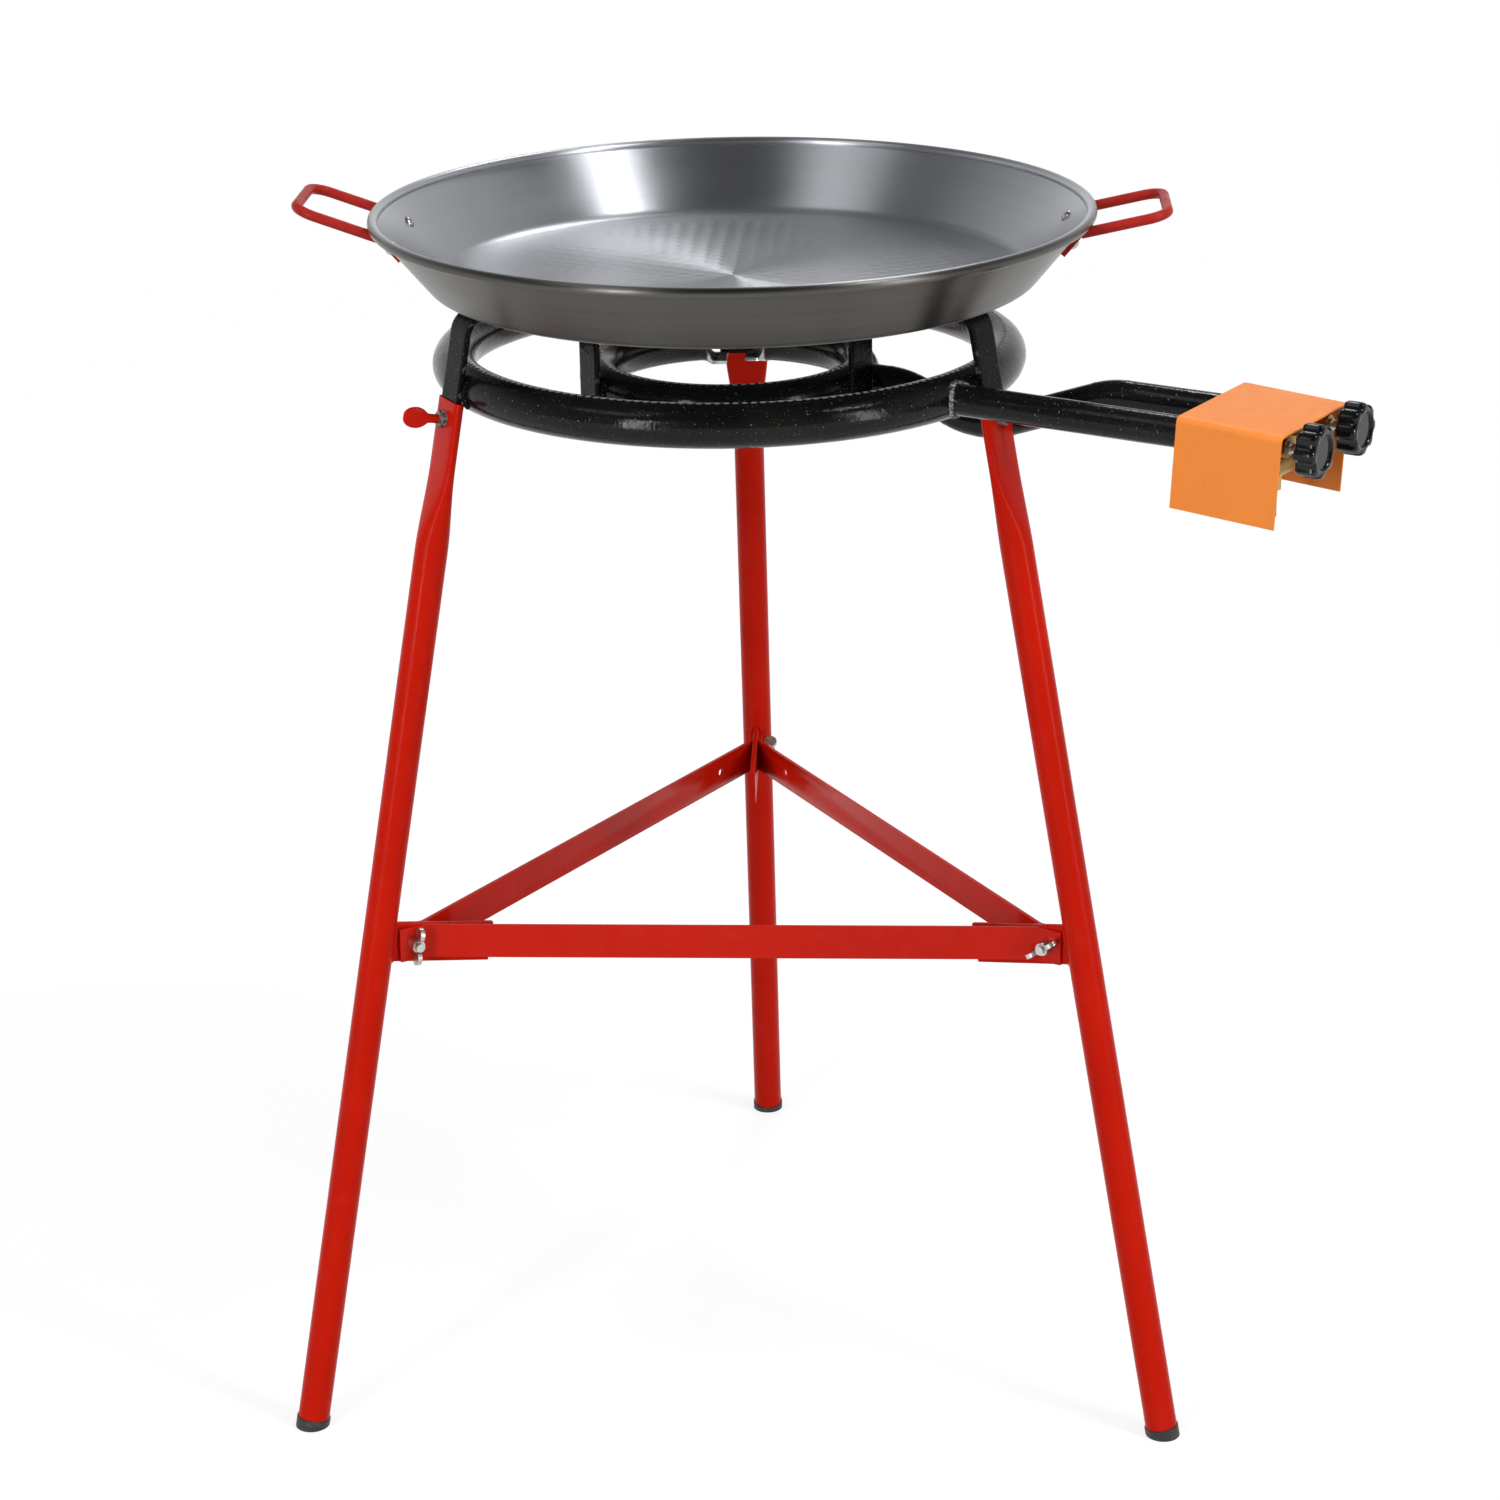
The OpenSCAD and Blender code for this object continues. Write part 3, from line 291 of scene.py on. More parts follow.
for side in (-SEAM_SIDE, SEAM_SIDE):
    seam = np.stack([np.full(SEAM_STEPS, SEAM_OUT), np.full(SEAM_STEPS, side),
                     TAB_LEVEL + np.linspace(-SEAM_HALF, SEAM_HALF, SEAM_STEPS)], -1)
    leg_grids.append(weld_bead(seam, (1, 0, 0), SEAM_BEAD))
for corner, turn in LEG_TURNS.items():
    make_piece("leg_skin_" + corner, [around(on_leg(grid), turn) for grid in leg_grids], red_paint,
               "stand", ("leg_" + corner,))

# Foot caps: moulded black plastic plugs pushed into the leg ends. Each has a rim a little wider
# than the tube and a sole cut level, so that it stands flat although the leg leans.
CAP_RADIUS, CAP_COLUMNS = 11.75, 49


def mottled(name, first, second, patches, rough, grain, **more):
    """A finish in two tones: noise stretched between two levels is the share of the second. The
    roughness wanders between two values, and a grain stands up by so many metres at a strength.
    Each of the three opens with the scale and detail of its noise."""
    finish = new_finish(name)
    spot = place(finish)
    share = spread(finish, noise(finish, spot, *patches[:2]), *patches[2:], 0, 1)
    shade(finish, Base_Color=blend(finish, share, first, second),
          Roughness=spread(finish, noise(finish, spot, *rough[:2]), 0.3, 0.7, *rough[2:]),
          Normal=relief(finish, noise(finish, spot, *grain[:2]), *grain[2:]), **more)
    return finish


cap_plastic = mottled("cap_plastic", (0.016, 0.016, 0.017, 1), (0.052, 0.050, 0.048, 1),
                      patches=(160, 6, 0.52, 0.7), rough=(500, 3, 0.42, 0.62),
                      grain=(1400, 2, 0.0001, 0.7))


def foot_cap():
    """A round plug cut level: rings of radius r go from the tube's end down to the floor, where
    z = -(ring level + x sin lean) / cos lean, and then in along the floor to the middle."""
    turn = np.linspace(0, 2 * np.pi, CAP_COLUMNS)[None]
    inset = np.array([6, 1.0, 0.3, 0, 0, 0, 0, 0, 0.25, 0.9, 3, 6, 9, CAP_RADIUS])[:, None]
    drop = np.array([0, 0, 0.02, 0.06, 0.2, 0.4, 0.6, 0.95, 0.98, 1, 1, 1, 1, 1])[:, None]
    radius = CAP_RADIUS - inset
    x, y = radius * np.cos(turn), radius * np.sin(turn)
    floor = -(RING_LEVEL + x * np.sin(LEG_LEAN)) / np.cos(LEG_LEAN)
    z = TUBE_END + drop * (floor - TUBE_END)
    worn = np.broadcast_to((radius > 0.9 * CAP_RADIUS) & (drop > 0.9), x.shape)
    return np.stack([x, y, z, worn], -1)


for corner, turn in LEG_TURNS.items():
    make_piece("foot_plug_" + corner, [around(on_leg(capped(foot_cap())), turn)], cap_plastic,
               "stand", ("foot_cap_" + corner,))

# Burner rings: two steel tubes bent to circles, drilled along the top with a row of flame
# ports and dipped in black enamel with pale flecks. The inner one's ends are pinched shut.
OUTER_MAJOR, OUTER_TUBE, OUTER_PORTS = 185.5, 14.5, 204
INNER_MAJOR, INNER_TUBE, INNER_PORTS, INNER_LEVEL = 88.0, 13.5, 88, 716.5
RING_SHARP, WALL_ROWS = 50, 41
PORT_STRIP = 2.6
PORT_REACH = np.array([1.75, 1.3, 1.15, 1.15, 0])
PORT_SINK = np.array([0, -0.10, 0.35, 0.35, 2.2, 2.2])
# Painted highlight: a pale grey ring round each port, given for each row of its patch.
PORT_HIGHLIGHT = np.array([0, 1.8, 2, 2, 1, 0.0])
PINCH_HALF, PRESS_STEPS = 18.0, 16
BLADE_START, BLADE_TIP, BLADE_HALF = 15.5, 6.5, 1.7
CREASE_DEPTH, CREASE_LENGTH, CREASE_SHIFT = 1.2, 4.2, 1.7


def flecks(finish, scale, share, size):
    """Pale specks: cells of a scattered pattern, of which a share carries a fleck of random size
    at its centre."""
    sockets = {"Vector": place(finish), "Scale": scale}
    distance = add(finish, "TexVoronoi", sockets, "Distance")
    lot = add(finish, "SeparateColor", {0: add(finish, "TexVoronoi", sockets, "Color")})
    reach = spread(finish, lot, 1 - share, 1, 0, size)
    return work_out(finish, "LESS_THAN", distance, reach)


def enamel(name, gloss):
    """Black enamel of a given gloss: near black, browned by heat in clouds, rubbed thin along
    worn edges, with fine and coarse pale flecks. Round the port rims, where wear nears 2, it is
    painted pale grey as a painted highlight, and it is off the bright, scaled steel of the pinched
    ends, where wear is 3."""
    finish = new_finish(name)
    spot = place(finish)
    burnt = spread(finish, noise(finish, spot, 24, 5), 0.45, 0.75, 0, 1)
    tone = blend(finish, burnt, (0.005, 0.005, 0.006, 1), (0.010, 0.009, 0.008, 1))
    wear_and_painted_light = add(finish, "Attribute", {}, "Fac", attribute_name="wear_and_painted_light")
    rubbed = work_out(finish, "MULTIPLY", wear_and_painted_light, noise(finish, spot, 180, 5))
    tone = blend(finish, spread(finish, rubbed, 0.58, 0.66, 0, 1), tone, (0.10, 0.085, 0.075, 1))
    coarse, fine = flecks(finish, 400, 0.34, 0.20), flecks(finish, 900, 0.30, 0.24)
    tone = blend(finish, work_out(finish, "MAXIMUM", coarse, fine), tone, (0.17, 0.175, 0.18, 1))
    # Painted highlight: pale grey round the ports, where the wear channel nears 2.
    tone = blend(finish, spread(finish, wear_and_painted_light, 1.2, 1.6, 0, 1), tone, (0.36, 0.36, 0.35, 1))
    scale = spread(finish, noise(finish, spot, 160, 5), 0.50, 0.64, 0, 1)
    steel = blend(finish, scale, (0.56, 0.57, 0.58, 1), (0.05, 0.05, 0.05, 1))
    tone = blend(finish, spread(finish, wear_and_painted_light, 2.2, 2.8, 0, 1), tone, steel)
    shade(finish, Base_Color=tone, Metallic=spread(finish, wear_and_painted_light, 2.2, 2.8, 0, 0.6),
          Roughness=spread(finish, noise(finish, spot, 70, 4), 0.3, 0.7, 0.10, 0.24),
          Specular_IOR_Level=gloss,
          Normal=relief(finish, noise(finish, spot, 260, 3), 0.00035, 0.55))
    return finish


black_enamel = enamel("black_enamel", 0.18)
dull_enamel = enamel("dull_enamel", 0.045)


def ring_wall(major, tube, level, ports, start, span):
    """A bent tube drilled along its top. Round the ring a, round the tube f: the distance from
    the axis is major + t cos f and the height level + t sin f. A strip along the top is one small
    patch a port, from a square edge in to the port's rim, which is marked for a painted highlight,
    and down its bore."""
    def at(a, f, t, mark_level):
        a, f, t, mark_level = np.broadcast_arrays(a, f, t, mark_level)
        out = major + t * np.cos(f)
        return np.stack([out * np.cos(a), out * np.sin(a), level + t * np.sin(f), mark_level], -1)

    pitch = np.radians(span) / ports
    half_strip = PORT_STRIP / tube
    a = np.radians(start) + np.arange(2 * ports + 1) * pitch / 2
    f = np.pi / 2 + np.linspace(half_strip, 2 * np.pi - half_strip, WALL_ROWS)
    wall = at(a[None], f[:, None], tube, 0.0)
    eighths = np.arange(9) * np.pi / 4
    rim_a, rim_f = np.cos(eighths), np.sin(eighths)
    square_a, square_f = np.round(rim_a), np.round(rim_f)
    reach = PORT_REACH[:, None]
    patch_a = np.concatenate([square_a[None] * pitch / 2, reach * rim_a / major])
    patch_f = np.concatenate([square_f[None] * half_strip, reach * rim_f / tube])
    middle = np.radians(start) + (np.arange(ports) + 0.5) * pitch
    port_a = middle[:, None, None] + patch_a[None]
    port_f = np.pi / 2 + np.broadcast_to(patch_f[None], port_a.shape)
    port_t = (tube - PORT_SINK)[None, :, None]
    return [wall] + list(at(port_a, port_f, port_t, PORT_HIGHLIGHT[None, :, None]))


outer_ring_grids = ring_wall(OUTER_MAJOR, OUTER_TUBE, RING_LEVEL, OUTER_PORTS, 0, 360)
make_piece("outer_flame_ring", [around(grid, 0) for grid in outer_ring_grids], black_enamel,
           "stand", ("outer_ring",), RING_SHARP)


def pinched_end(side):
    """A tube end pressed flat: its section |x / w| ^ (2 / p) + |z / h| ^ (2 / p) = 1 goes from
    round to a thin blade, while the level drops so that the underside runs straight. Creases of
    depth times sin(x / length + shift) grow along it."""
    press = np.linspace(0, 1, PRESS_STEPS)
    step = np.concatenate([press, [1.0, 1.0]])
    smooth = step ** 2 * (3 - 2 * step)
    lead = np.radians(90 + side * PINCH_HALF)
    from_point = np.array([INNER_MAJOR * np.cos(lead), INNER_MAJOR * np.sin(lead)])
    flat_point = np.array([-side * BLADE_START, INNER_MAJOR])
    tip = np.array([-side * BLADE_TIP, INNER_MAJOR])
    run = np.concatenate([from_point + press[:, None] * (flat_point - from_point),
                          (flat_point + tip)[None] / 2, tip[None]])
    facing = np.stack([np.cos(lead) * (1 - step), np.sin(lead) * (1 - step) + step], -1)
    facing /= np.linalg.norm(facing, axis=1, keepdims=True)
    thick = INNER_TUBE + (BLADE_HALF - INNER_TUBE) * smooth
    power = 1 - 0.6 * smooth
    turn = np.linspace(0, 2 * np.pi, WALL_ROWS)
    c, s = np.cos(turn), np.sin(turn)
    across = INNER_TUBE * np.sign(c) * np.abs(c) ** power[:, None]
    up = thick[:, None] * np.sign(s) * np.abs(s) ** power[:, None] + (thick - INNER_TUBE)[:, None]
    crease = CREASE_DEPTH * smooth[:, None] * np.sin(across / CREASE_LENGTH + CREASE_SHIFT * side)
    mark_level = np.broadcast_to(3 * np.clip((step - 0.3) / 0.2, 0, 1)[:, None], across.shape)
    return np.stack([run[:, :1] + across * facing[:, :1], run[:, 1:] + across * facing[:, 1:],
                     INNER_LEVEL + up + crease * (np.abs(s) > 0.1), mark_level], -1)


inner_ring_grids = ring_wall(INNER_MAJOR, INNER_TUBE, INNER_LEVEL, INNER_PORTS,
                             90 + PINCH_HALF, 360 - 2 * PINCH_HALF)
inner_ring_grids += [capped(pinched_end(side)) for side in (-1, 1)]
make_piece("inner_flame_ring", [around(grid, 0) for grid in inner_ring_grids], black_enamel,
           "stand", ("inner_ring",), RING_SHARP)

# Pan supports: three flat steel bars, each bent to a bridge over both rings, welded to them
# and enamelled black. The outer end is a spigot in the flattened top of its leg.
BAR_WIDTH, BAR_THICK, BAR_EDGE = 25.0, 4.0, 0.7
BEND = 14.0
OUTER_BEND, INNER_BEND, BEND_LEVEL, INNER_FOOT = 181.0, 117.55, 765.5, 703.5
LAP_HALF, LAP_SIDE, LAP_BEAD, LAP_STEPS = 38, 12.7, 2.1, 40


def bridge_path():
    """Middle line of the bent bar: up the leaning post, round a bend, level under the pan, round
    a second bend and down to the inner ring."""
    spigot = on_leg(np.stack([np.zeros(2), np.zeros(2), [FLAT_END, LEG_TOP]], -1))
    first = LEG_LEAN + (np.pi / 2 - LEG_LEAN) * np.linspace(0, 1, 9)
    second = np.pi / 2 * np.linspace(1, 2, 9)
    bends = [np.stack([middle + BEND * np.cos(turn), 0 * turn,
                       BEND_LEVEL + BEND * np.sin(turn)], -1)
             for middle, turn in ((OUTER_BEND, first), (INNER_BEND, second))]
    foot = np.array([[INNER_BEND - BEND, 0, INNER_FOOT + 20], [INNER_BEND - BEND, 0, INNER_FOOT]])
    return np.concatenate([spigot] + bends + [foot])


bar = bar_outline(BAR_WIDTH, BAR_THICK, BAR_EDGE)
bridge_grids = [capped(carry(bar, bridge_path(), (0, 1, 0)))]
lap = np.radians(np.linspace(-LAP_HALF, LAP_HALF, LAP_STEPS))
for major, tube, level in ((OUTER_MAJOR, OUTER_TUBE, RING_LEVEL),
                           (INNER_MAJOR, INNER_TUBE, INNER_LEVEL)):
    for side in (-LAP_SIDE, LAP_SIDE):
        reach = np.sqrt((major + tube * np.cos(lap)) ** 2 - side ** 2)
        line = np.stack([reach, np.full(LAP_STEPS, side), level + tube * np.sin(lap)], -1)
        bridge_grids.append(weld_bead(line, (0, 1, 0), LAP_BEAD))
for corner, turn in LEG_TURNS.items():
    make_piece("support_bridge_" + corner, [around(grid, turn) for grid in bridge_grids],
               dull_enamel, "stand", ("support_" + corner,))

# Feed pipes: two steel gas pipes of about 20 mm, enamelled black. The outer ring's runs straight
# in, the inner ring's dips below the outer ring, and a weld bead runs round each joint.
PIPE_TURN, PIPE_RADIUS, PIPE_OFFSET = -30, 10.25, 30.0
BEAD_STAND_OFF, JOINT_BEAD, JOINT_DROPS = 0.4, 1.9, 26
bead_turn = np.linspace(0, 2 * np.pi, 181)


def joint_line(major, tube, level, offset, radius):
    """Where a pipe along x meets a ring: y = offset + r cos t and z = level + r sin t on the pipe,
    and x = root of ((major + root of (tube^2 - (r sin t)^2))^2 - y^2) on the ring."""
    y = offset + radius * np.cos(bead_turn)
    rise = radius * np.sin(bead_turn)
    x = np.sqrt((major + np.sqrt(np.maximum(tube ** 2 - rise ** 2, 0))) ** 2 - y ** 2)
    return np.stack([x, y, level + rise], -1)


def joint_bead(line, radius):
    """A weld bead round a joint, closed on itself: radius times 1 + swell times the sine of the
    drops laid."""
    along = np.roll(line[:-1], -1, 0) - np.roll(line[:-1], 1, 0)
    along = np.concatenate([along, along[:1]])
    along /= np.linalg.norm(along, axis=1, keepdims=True)
    side = np.cross(along, (1.0, 0, 0))
    side /= np.linalg.norm(side, axis=1, keepdims=True)
    up = np.cross(along, side)
    swell = radius * (1 + BEAD_SWELL * np.sin(JOINT_DROPS * bead_turn))[:, None, None]
    ring = circle(1.0, BEAD_SIDES)
    return line[:, None] + swell * (ring[:, :1] * side[:, None] + ring[:, 1:] * up[:, None])


bead_steel = mottled("bead_steel", (0.030, 0.030, 0.032, 1), (0.30, 0.30, 0.30, 1),
                     patches=(420, 5, 0.42, 0.62), rough=(300, 4, 0.12, 0.34),
                     grain=(600, 3, 0.0006, 0.7))
for name, major, tube, level, offset in (
        ("outer", OUTER_MAJOR, OUTER_TUBE, RING_LEVEL, -PIPE_OFFSET),
        ("inner", INNER_MAJOR, INNER_TUBE, INNER_LEVEL, PIPE_OFFSET)):
    line = joint_line(major, tube, level, offset, PIPE_RADIUS + BEAD_STAND_OFF)
    make_piece(name + "_joint_bead", [around(joint_bead(line, JOINT_BEAD), PIPE_TURN)], bead_steel,
               "stand", ())


def finish_node(finish, *nodes):
    """Gives CAD nodes, whose shapes stay, their finish."""
    for node in nodes:
        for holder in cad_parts[node].material_slots:
            holder.material = finish


finish_node(black_enamel, "outer_feed_pipe", "inner_feed_pipe")

# Gas train under the cover: turned brass taps, injectors, manifold pipe and hose tail, screwed
# together, with plated steel stems that stand out of the cover's open end.
brass = mottled("brass", (0.40, 0.25, 0.085, 1), (0.24, 0.145, 0.05, 1),
                patches=(55, 5, 0.4, 0.7), rough=(240, 4, 0.32, 0.50),
                grain=(900, 2, 0.00008, 0.6), Metallic=1.0)
zinc = mottled("zinc", (0.60, 0.60, 0.58, 1), (0.42, 0.41, 0.38, 1),
               patches=(130, 5, 0.35, 0.7), rough=(300, 4, 0.26, 0.46),
               grain=(1000, 3, 0.0001, 0.7), Metallic=1.0)
finish_node(brass, "gas_manifold", "hose_inlet", "outer_tap_body", "inner_tap_body",
            "outer_injector", "inner_injector")
finish_node(zinc, "outer_tap_stem", "inner_tap_stem")

# Control cover: one sheet of steel folded to a hood over the taps and sprayed satin orange, a
# little rubbed in patches.
COVER_EDGE = 0.35
orange_paint = new_finish("orange_paint")
spot = place(orange_paint)
orange_tone = blend(orange_paint, noise(orange_paint, spot, 18, 4),
                    (0.90, 0.255, 0.036, 1), (0.97, 0.290, 0.046, 1))
rubbed = spread(orange_paint, noise(orange_paint, spot, 90, 6), 0.62, 0.8, 0, 0.2)
shade(orange_paint, Base_Color=blend(orange_paint, rubbed, orange_tone, (0.60, 0.20, 0.06, 1)),
      Roughness=spread(orange_paint, noise(orange_paint, spot, 120, 4), 0.3, 0.7, 0.30, 0.44),
      Specular_IOR_Level=0.2,
      Normal=relief(orange_paint, noise(orange_paint, spot, 620, 2), 0.00012, 0.7))


def softened_copy(node, name, finish, body, edge):
    """A copy of a CAD node with its doubles merged, its flat faces joined up and its sharp edges
    rounded over, which stands for that node."""
    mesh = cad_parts[node].data.copy()
    mesh.name = name
    mesh.materials.clear()
    work = bmesh.new()
    work.from_mesh(mesh)
    bmesh.ops.remove_doubles(work, verts=work.verts, dist=MERGE_WITHIN)
    bmesh.ops.dissolve_limit(work, angle_limit=np.radians(0.4),
                             verts=work.verts, edges=work.edges)
    bmesh.ops.recalc_face_normals(work, faces=work.faces)
    work.to_mesh(mesh)
    work.free()
    if mesh.has_custom_normals:
        mesh.attributes.remove(mesh.attributes["custom_normal"])
    mesh.polygons.foreach_set("use_smooth", np.ones(len(mesh.polygons), bool))
    mesh.set_sharp_from_angle(angle=np.radians(SHARP_FROM))
    mesh.materials.append(finish)
    piece = bpy.data.objects.new(name, mesh)
    bpy.context.scene.collection.objects.link(piece)
    rounding = piece.modifiers.new("rounded edges", "BEVEL")
    rounding.width = edge * 0.001
    rounding.segments = 2
    rounding.limit_method = "ANGLE"
    rounding.angle_limit = np.radians(40)
    rounding.harden_normals = True
    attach(piece, body)
    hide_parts(node)


softened_copy("control_cover", "folded_cover", orange_paint, "stand", COVER_EDGE)

# Knobs: two moulded black gloss knobs with eight finger flutes, pressed on the tap stems. A
# shallow round recess is moulded in each face.
KNOB_BACK, KNOB_RADIUS, KNOB_LOBES = 437.0, 17.0, 8
FLUTE_RADIUS, FLUTE_SOFT = 5.44, 0.45
FLUTE_AT = KNOB_RADIUS + 0.55 * FLUTE_RADIUS
knob_plastic = mottled("knob_plastic", (0.004, 0.004, 0.005, 1), (0.008, 0.008, 0.008, 1),
                       patches=(90, 6, 0.5, 0.75), rough=(200, 4, 0.10, 0.20),
                       grain=(700, 2, 0.00006, 0.5), Specular_IOR_Level=0.28)


def knob_skin(offset):
    """A fluted knob: a circle cut by eight round flutes, whose near side is at the distance
    c cos d - root of (f^2 - (c sin d)^2) from the axis, rounded into it by a soft minimum. The
    section is drawn in at the back and over the front, and the flutes fade out towards the
    face's recess."""
    turn = np.linspace(0, 2 * np.pi, 193)
    pitch = 2 * np.pi / KNOB_LOBES
    off = np.abs(turn % pitch - pitch / 2)
    gap = np.sqrt(np.maximum(FLUTE_RADIUS ** 2 - (FLUTE_AT * np.sin(off)) ** 2, 0))
    flute = np.where(gap > 0, FLUTE_AT * np.cos(off) - gap, 2 * KNOB_RADIUS)
    soft = np.exp(-KNOB_RADIUS / FLUTE_SOFT) + np.exp(-flute / FLUTE_SOFT)
    fluted = -FLUTE_SOFT * np.log(soft)
    size = np.array([0.50, 0.90, 0.95, 0.985, 1, 1, 1, 0.985,
                     0.955, 0.91, 0.82, 0.70, 0.66, 0.64, 0.61, 0.30])
    along = np.array([0, 0, 0.3, 1.0, 2.0, 5.0, 10.0, 11.6,
                      12.8, 13.6, 14, 14, 13.7, 12.9, 12.4, 12.4])
    depth = np.array([0.3, 1, 1, 1, 1, 1, 1, 1, 1, 0.95, 0.6, 0.1, 0, 0, 0, 0])
    radius = size[:, None] * (KNOB_RADIUS + depth[:, None] * (fluted - KNOB_RADIUS))
    x = np.broadcast_to((KNOB_BACK + along)[:, None], radius.shape)
    return np.stack([x, offset + radius * np.sin(turn), RING_LEVEL + radius * np.cos(turn)], -1)


for name, offset in (("outer", -PIPE_OFFSET), ("inner", PIPE_OFFSET)):
    make_piece(name + "_lobed_knob", [around(capped(knob_skin(offset)), PIPE_TURN)], knob_plastic,
               name + "_control", (name + "_knob",))

# Thumb screws: forged screws with a flat oval paddle, painted with the legs, turned into dull
# steel hexagon bosses that are welded to the flattened leg tops. They pinch the support bars.
SCREW_LEVEL, SCREW_SHARP = -18.0, 60
finish_node(bead_steel, "screw_bosses")


def thumb_screw():
    """A paddle drawn out of a round shank: along x the half height and half thickness of an oval
    section go from the shank's radius to the paddle's and close at the tip."""
    stations = np.array([2.05, 9.0, 12.6, 14.8, 16.2, 17.6, 19.4,
                         21.9, 24.5, 27.2, 29.6, 31.2, 32.1, 32.5])
    height = np.array([3.0, 3.0, 3.0, 3.1, 3.8, 5.0, 6.1, 6.9, 7.0, 6.6, 5.6, 4.2, 2.6, 0.6])
    thick = np.array([3.0, 3.0, 3.0, 2.7, 2.2, 1.8, 1.55, 1.5, 1.5, 1.5, 1.5, 1.4, 1.1, 0.4])
    turn = np.linspace(0, 2 * np.pi, 41)
    c, s = np.cos(turn), np.sin(turn)
    power = np.clip(thick / height, 0.45, 1)[:, None]
    z = SCREW_LEVEL + height[:, None] * np.sign(c) * np.abs(c) ** power
    y = thick[:, None] * np.sign(s) * np.abs(s) ** power
    return np.stack([np.broadcast_to(stations[:, None], z.shape), y, z], -1)


for corner, turn in LEG_TURNS.items():
    make_piece("paddle_screw_" + corner, [around(on_leg(capped(thumb_screw())), turn)], red_paint,
               "thumb_" + corner, ("thumb_screw_" + corner,), SCREW_SHARP)

# Braces: three flat straps punched at the ends and bent to meet the leg tabs, painted red, with
# plated bolts through tab and straps and cast wing nuts to take the stand apart.
STRAP_EDGE, NUT_EDGE = 0.45, 0.6
for corner in ("front", "left", "right"):
    softened_copy("brace_strap_" + corner, "brace_" + corner, strap_paint,
                  "stand", STRAP_EDGE)
finish_node(zinc, "brace_bolts")
for corner in LEG_TURNS:
    softened_copy("wing_nut_" + corner, "cast_wing_nut_" + corner, zinc,
                  "nut_" + corner, NUT_EDGE)

# Pan: a disc of thin carbon steel spun to a shallow dish with a rolled lip and polished in the
# lathe, so that fine rings run round it. The floor has rings of small pressed dimples. Its
# outside is painted in a far darker copy of the steel, as painted shade.
PAN_BASE, PAN_SHEET, BASE_RADIUS, CORNER = 781.5, 1.5, 202.0, 12.0
LIP_CENTRE, LIP_LEVEL, LIP_RADIUS, PAN_OFF = 239.0, 826.5, 3.5, 3.6
DIMPLE_PITCH, DIMPLE_RADIUS, DIMPLE_DEPTH, DIMPLED = 11.0, 2.4, 0.20, 176.0
PAN_COLUMNS, PAN_SHARP, LIP_STEPS = 433, 40, 25
wall_slope = np.arctan2(LIP_LEVEL - PAN_BASE, LIP_CENTRE - BASE_RADIUS)
floor_edge = BASE_RADIUS - CORNER * np.tan(wall_slope / 2)


def pan_floor():
    """The dish's upper face: a disc with dimples. Ring k of them has 6 k at k pitches from the
    middle, and each sinks the disc by depth times exp(-(distance / radius)^2)."""
    r = np.linspace(0, floor_edge, 104)[:, None]
    turn = np.linspace(0, 2 * np.pi, PAN_COLUMNS)[None]
    ring = np.round(r / DIMPLE_PITCH)
    count = np.maximum(6 * ring, 1)
    shift = 0.5 * (ring % 2)
    nearest = (np.round(turn * count / (2 * np.pi) - shift) + shift) * 2 * np.pi / count
    out = ring * DIMPLE_PITCH
    away = r ** 2 + out ** 2 - 2 * r * out * np.cos(turn - nearest)
    sink = DIMPLE_DEPTH * np.exp(-away / DIMPLE_RADIUS ** 2) * (out < DIMPLED)
    z = PAN_BASE + PAN_SHEET - sink
    u, v = np.broadcast_to(turn / (2 * np.pi), z.shape), np.broadcast_to(r * 0.001, z.shape)
    return np.stack([r * np.cos(turn), r * np.sin(turn), z, 0 * z, u, v], -1)


def spun(profile, start):
    """A profile (distance from the axis, height, and 1 outside, where the steel takes painted
    shade) turned once round the axis. The map runs round the pan in u and in metres along the
    profile in v."""
    turn = np.linspace(0, 2 * np.pi, PAN_COLUMNS)[None]
    steps = np.linalg.norm(np.diff(profile[:, :2], axis=0), axis=1)
    run = start + np.concatenate([[0], np.cumsum(steps)]) * 0.001
    r = profile[:, :1]
    level = [profile[:, 1:2], profile[:, 2:], turn / (2 * np.pi), run[:, None]]
    z, outside, u, v = [np.broadcast_to(values, (len(profile), PAN_COLUMNS)) for values in level]
    return np.stack([r * np.cos(turn), r * np.sin(turn), z, outside, u, v], -1)


def pan_profile():
    """From the floor's edge round the inside corner, up the wall, round the rolled lip, down the
    outside wall, round the outside corner and in under the base to the middle."""
    sweep = np.linspace(-np.pi / 2, -np.pi / 2 + wall_slope, 9)
    corner_arc = np.stack([np.cos(sweep), np.sin(sweep)], -1)
    corner_middle = np.array([floor_edge, PAN_BASE + CORNER])
    lip = np.array([LIP_CENTRE, LIP_LEVEL])
    inner_corner = corner_middle + (CORNER - PAN_SHEET) * corner_arc
    outer_corner = corner_middle + CORNER * corner_arc
    meet = np.arcsin(PAN_SHEET / LIP_RADIUS)
    roll = wall_slope + np.pi - meet - np.linspace(0, 2 * np.pi - meet, LIP_STEPS)
    rolled = lip + LIP_RADIUS * np.stack([np.cos(roll), np.sin(roll)], -1)
    climb = np.linspace(0, 1, 14)[1:-1, None]
    inner_wall = inner_corner[-1] + climb * (rolled[0] - inner_corner[-1])
    outer_wall = rolled[-1] + climb * (outer_corner[-1] - rolled[-1])
    base = np.stack([np.linspace(floor_edge, 0, 10)[1:], np.full(9, PAN_BASE)], -1)
    # Across the roll the outside share climbs from 0 to 1: a painted highlight on the lip's top
    # and painted shade on its outer side.
    over = np.clip(np.linspace(-2.4, 4.7, LIP_STEPS), 0, 1)
    runs = ((inner_corner, 0), (inner_wall, 0), (rolled, over),
            (outer_wall, 1), (outer_corner[::-1], 1), (base, 1))
    return np.concatenate([np.column_stack([run, np.broadcast_to(out, len(run))])
                           for run, out in runs])


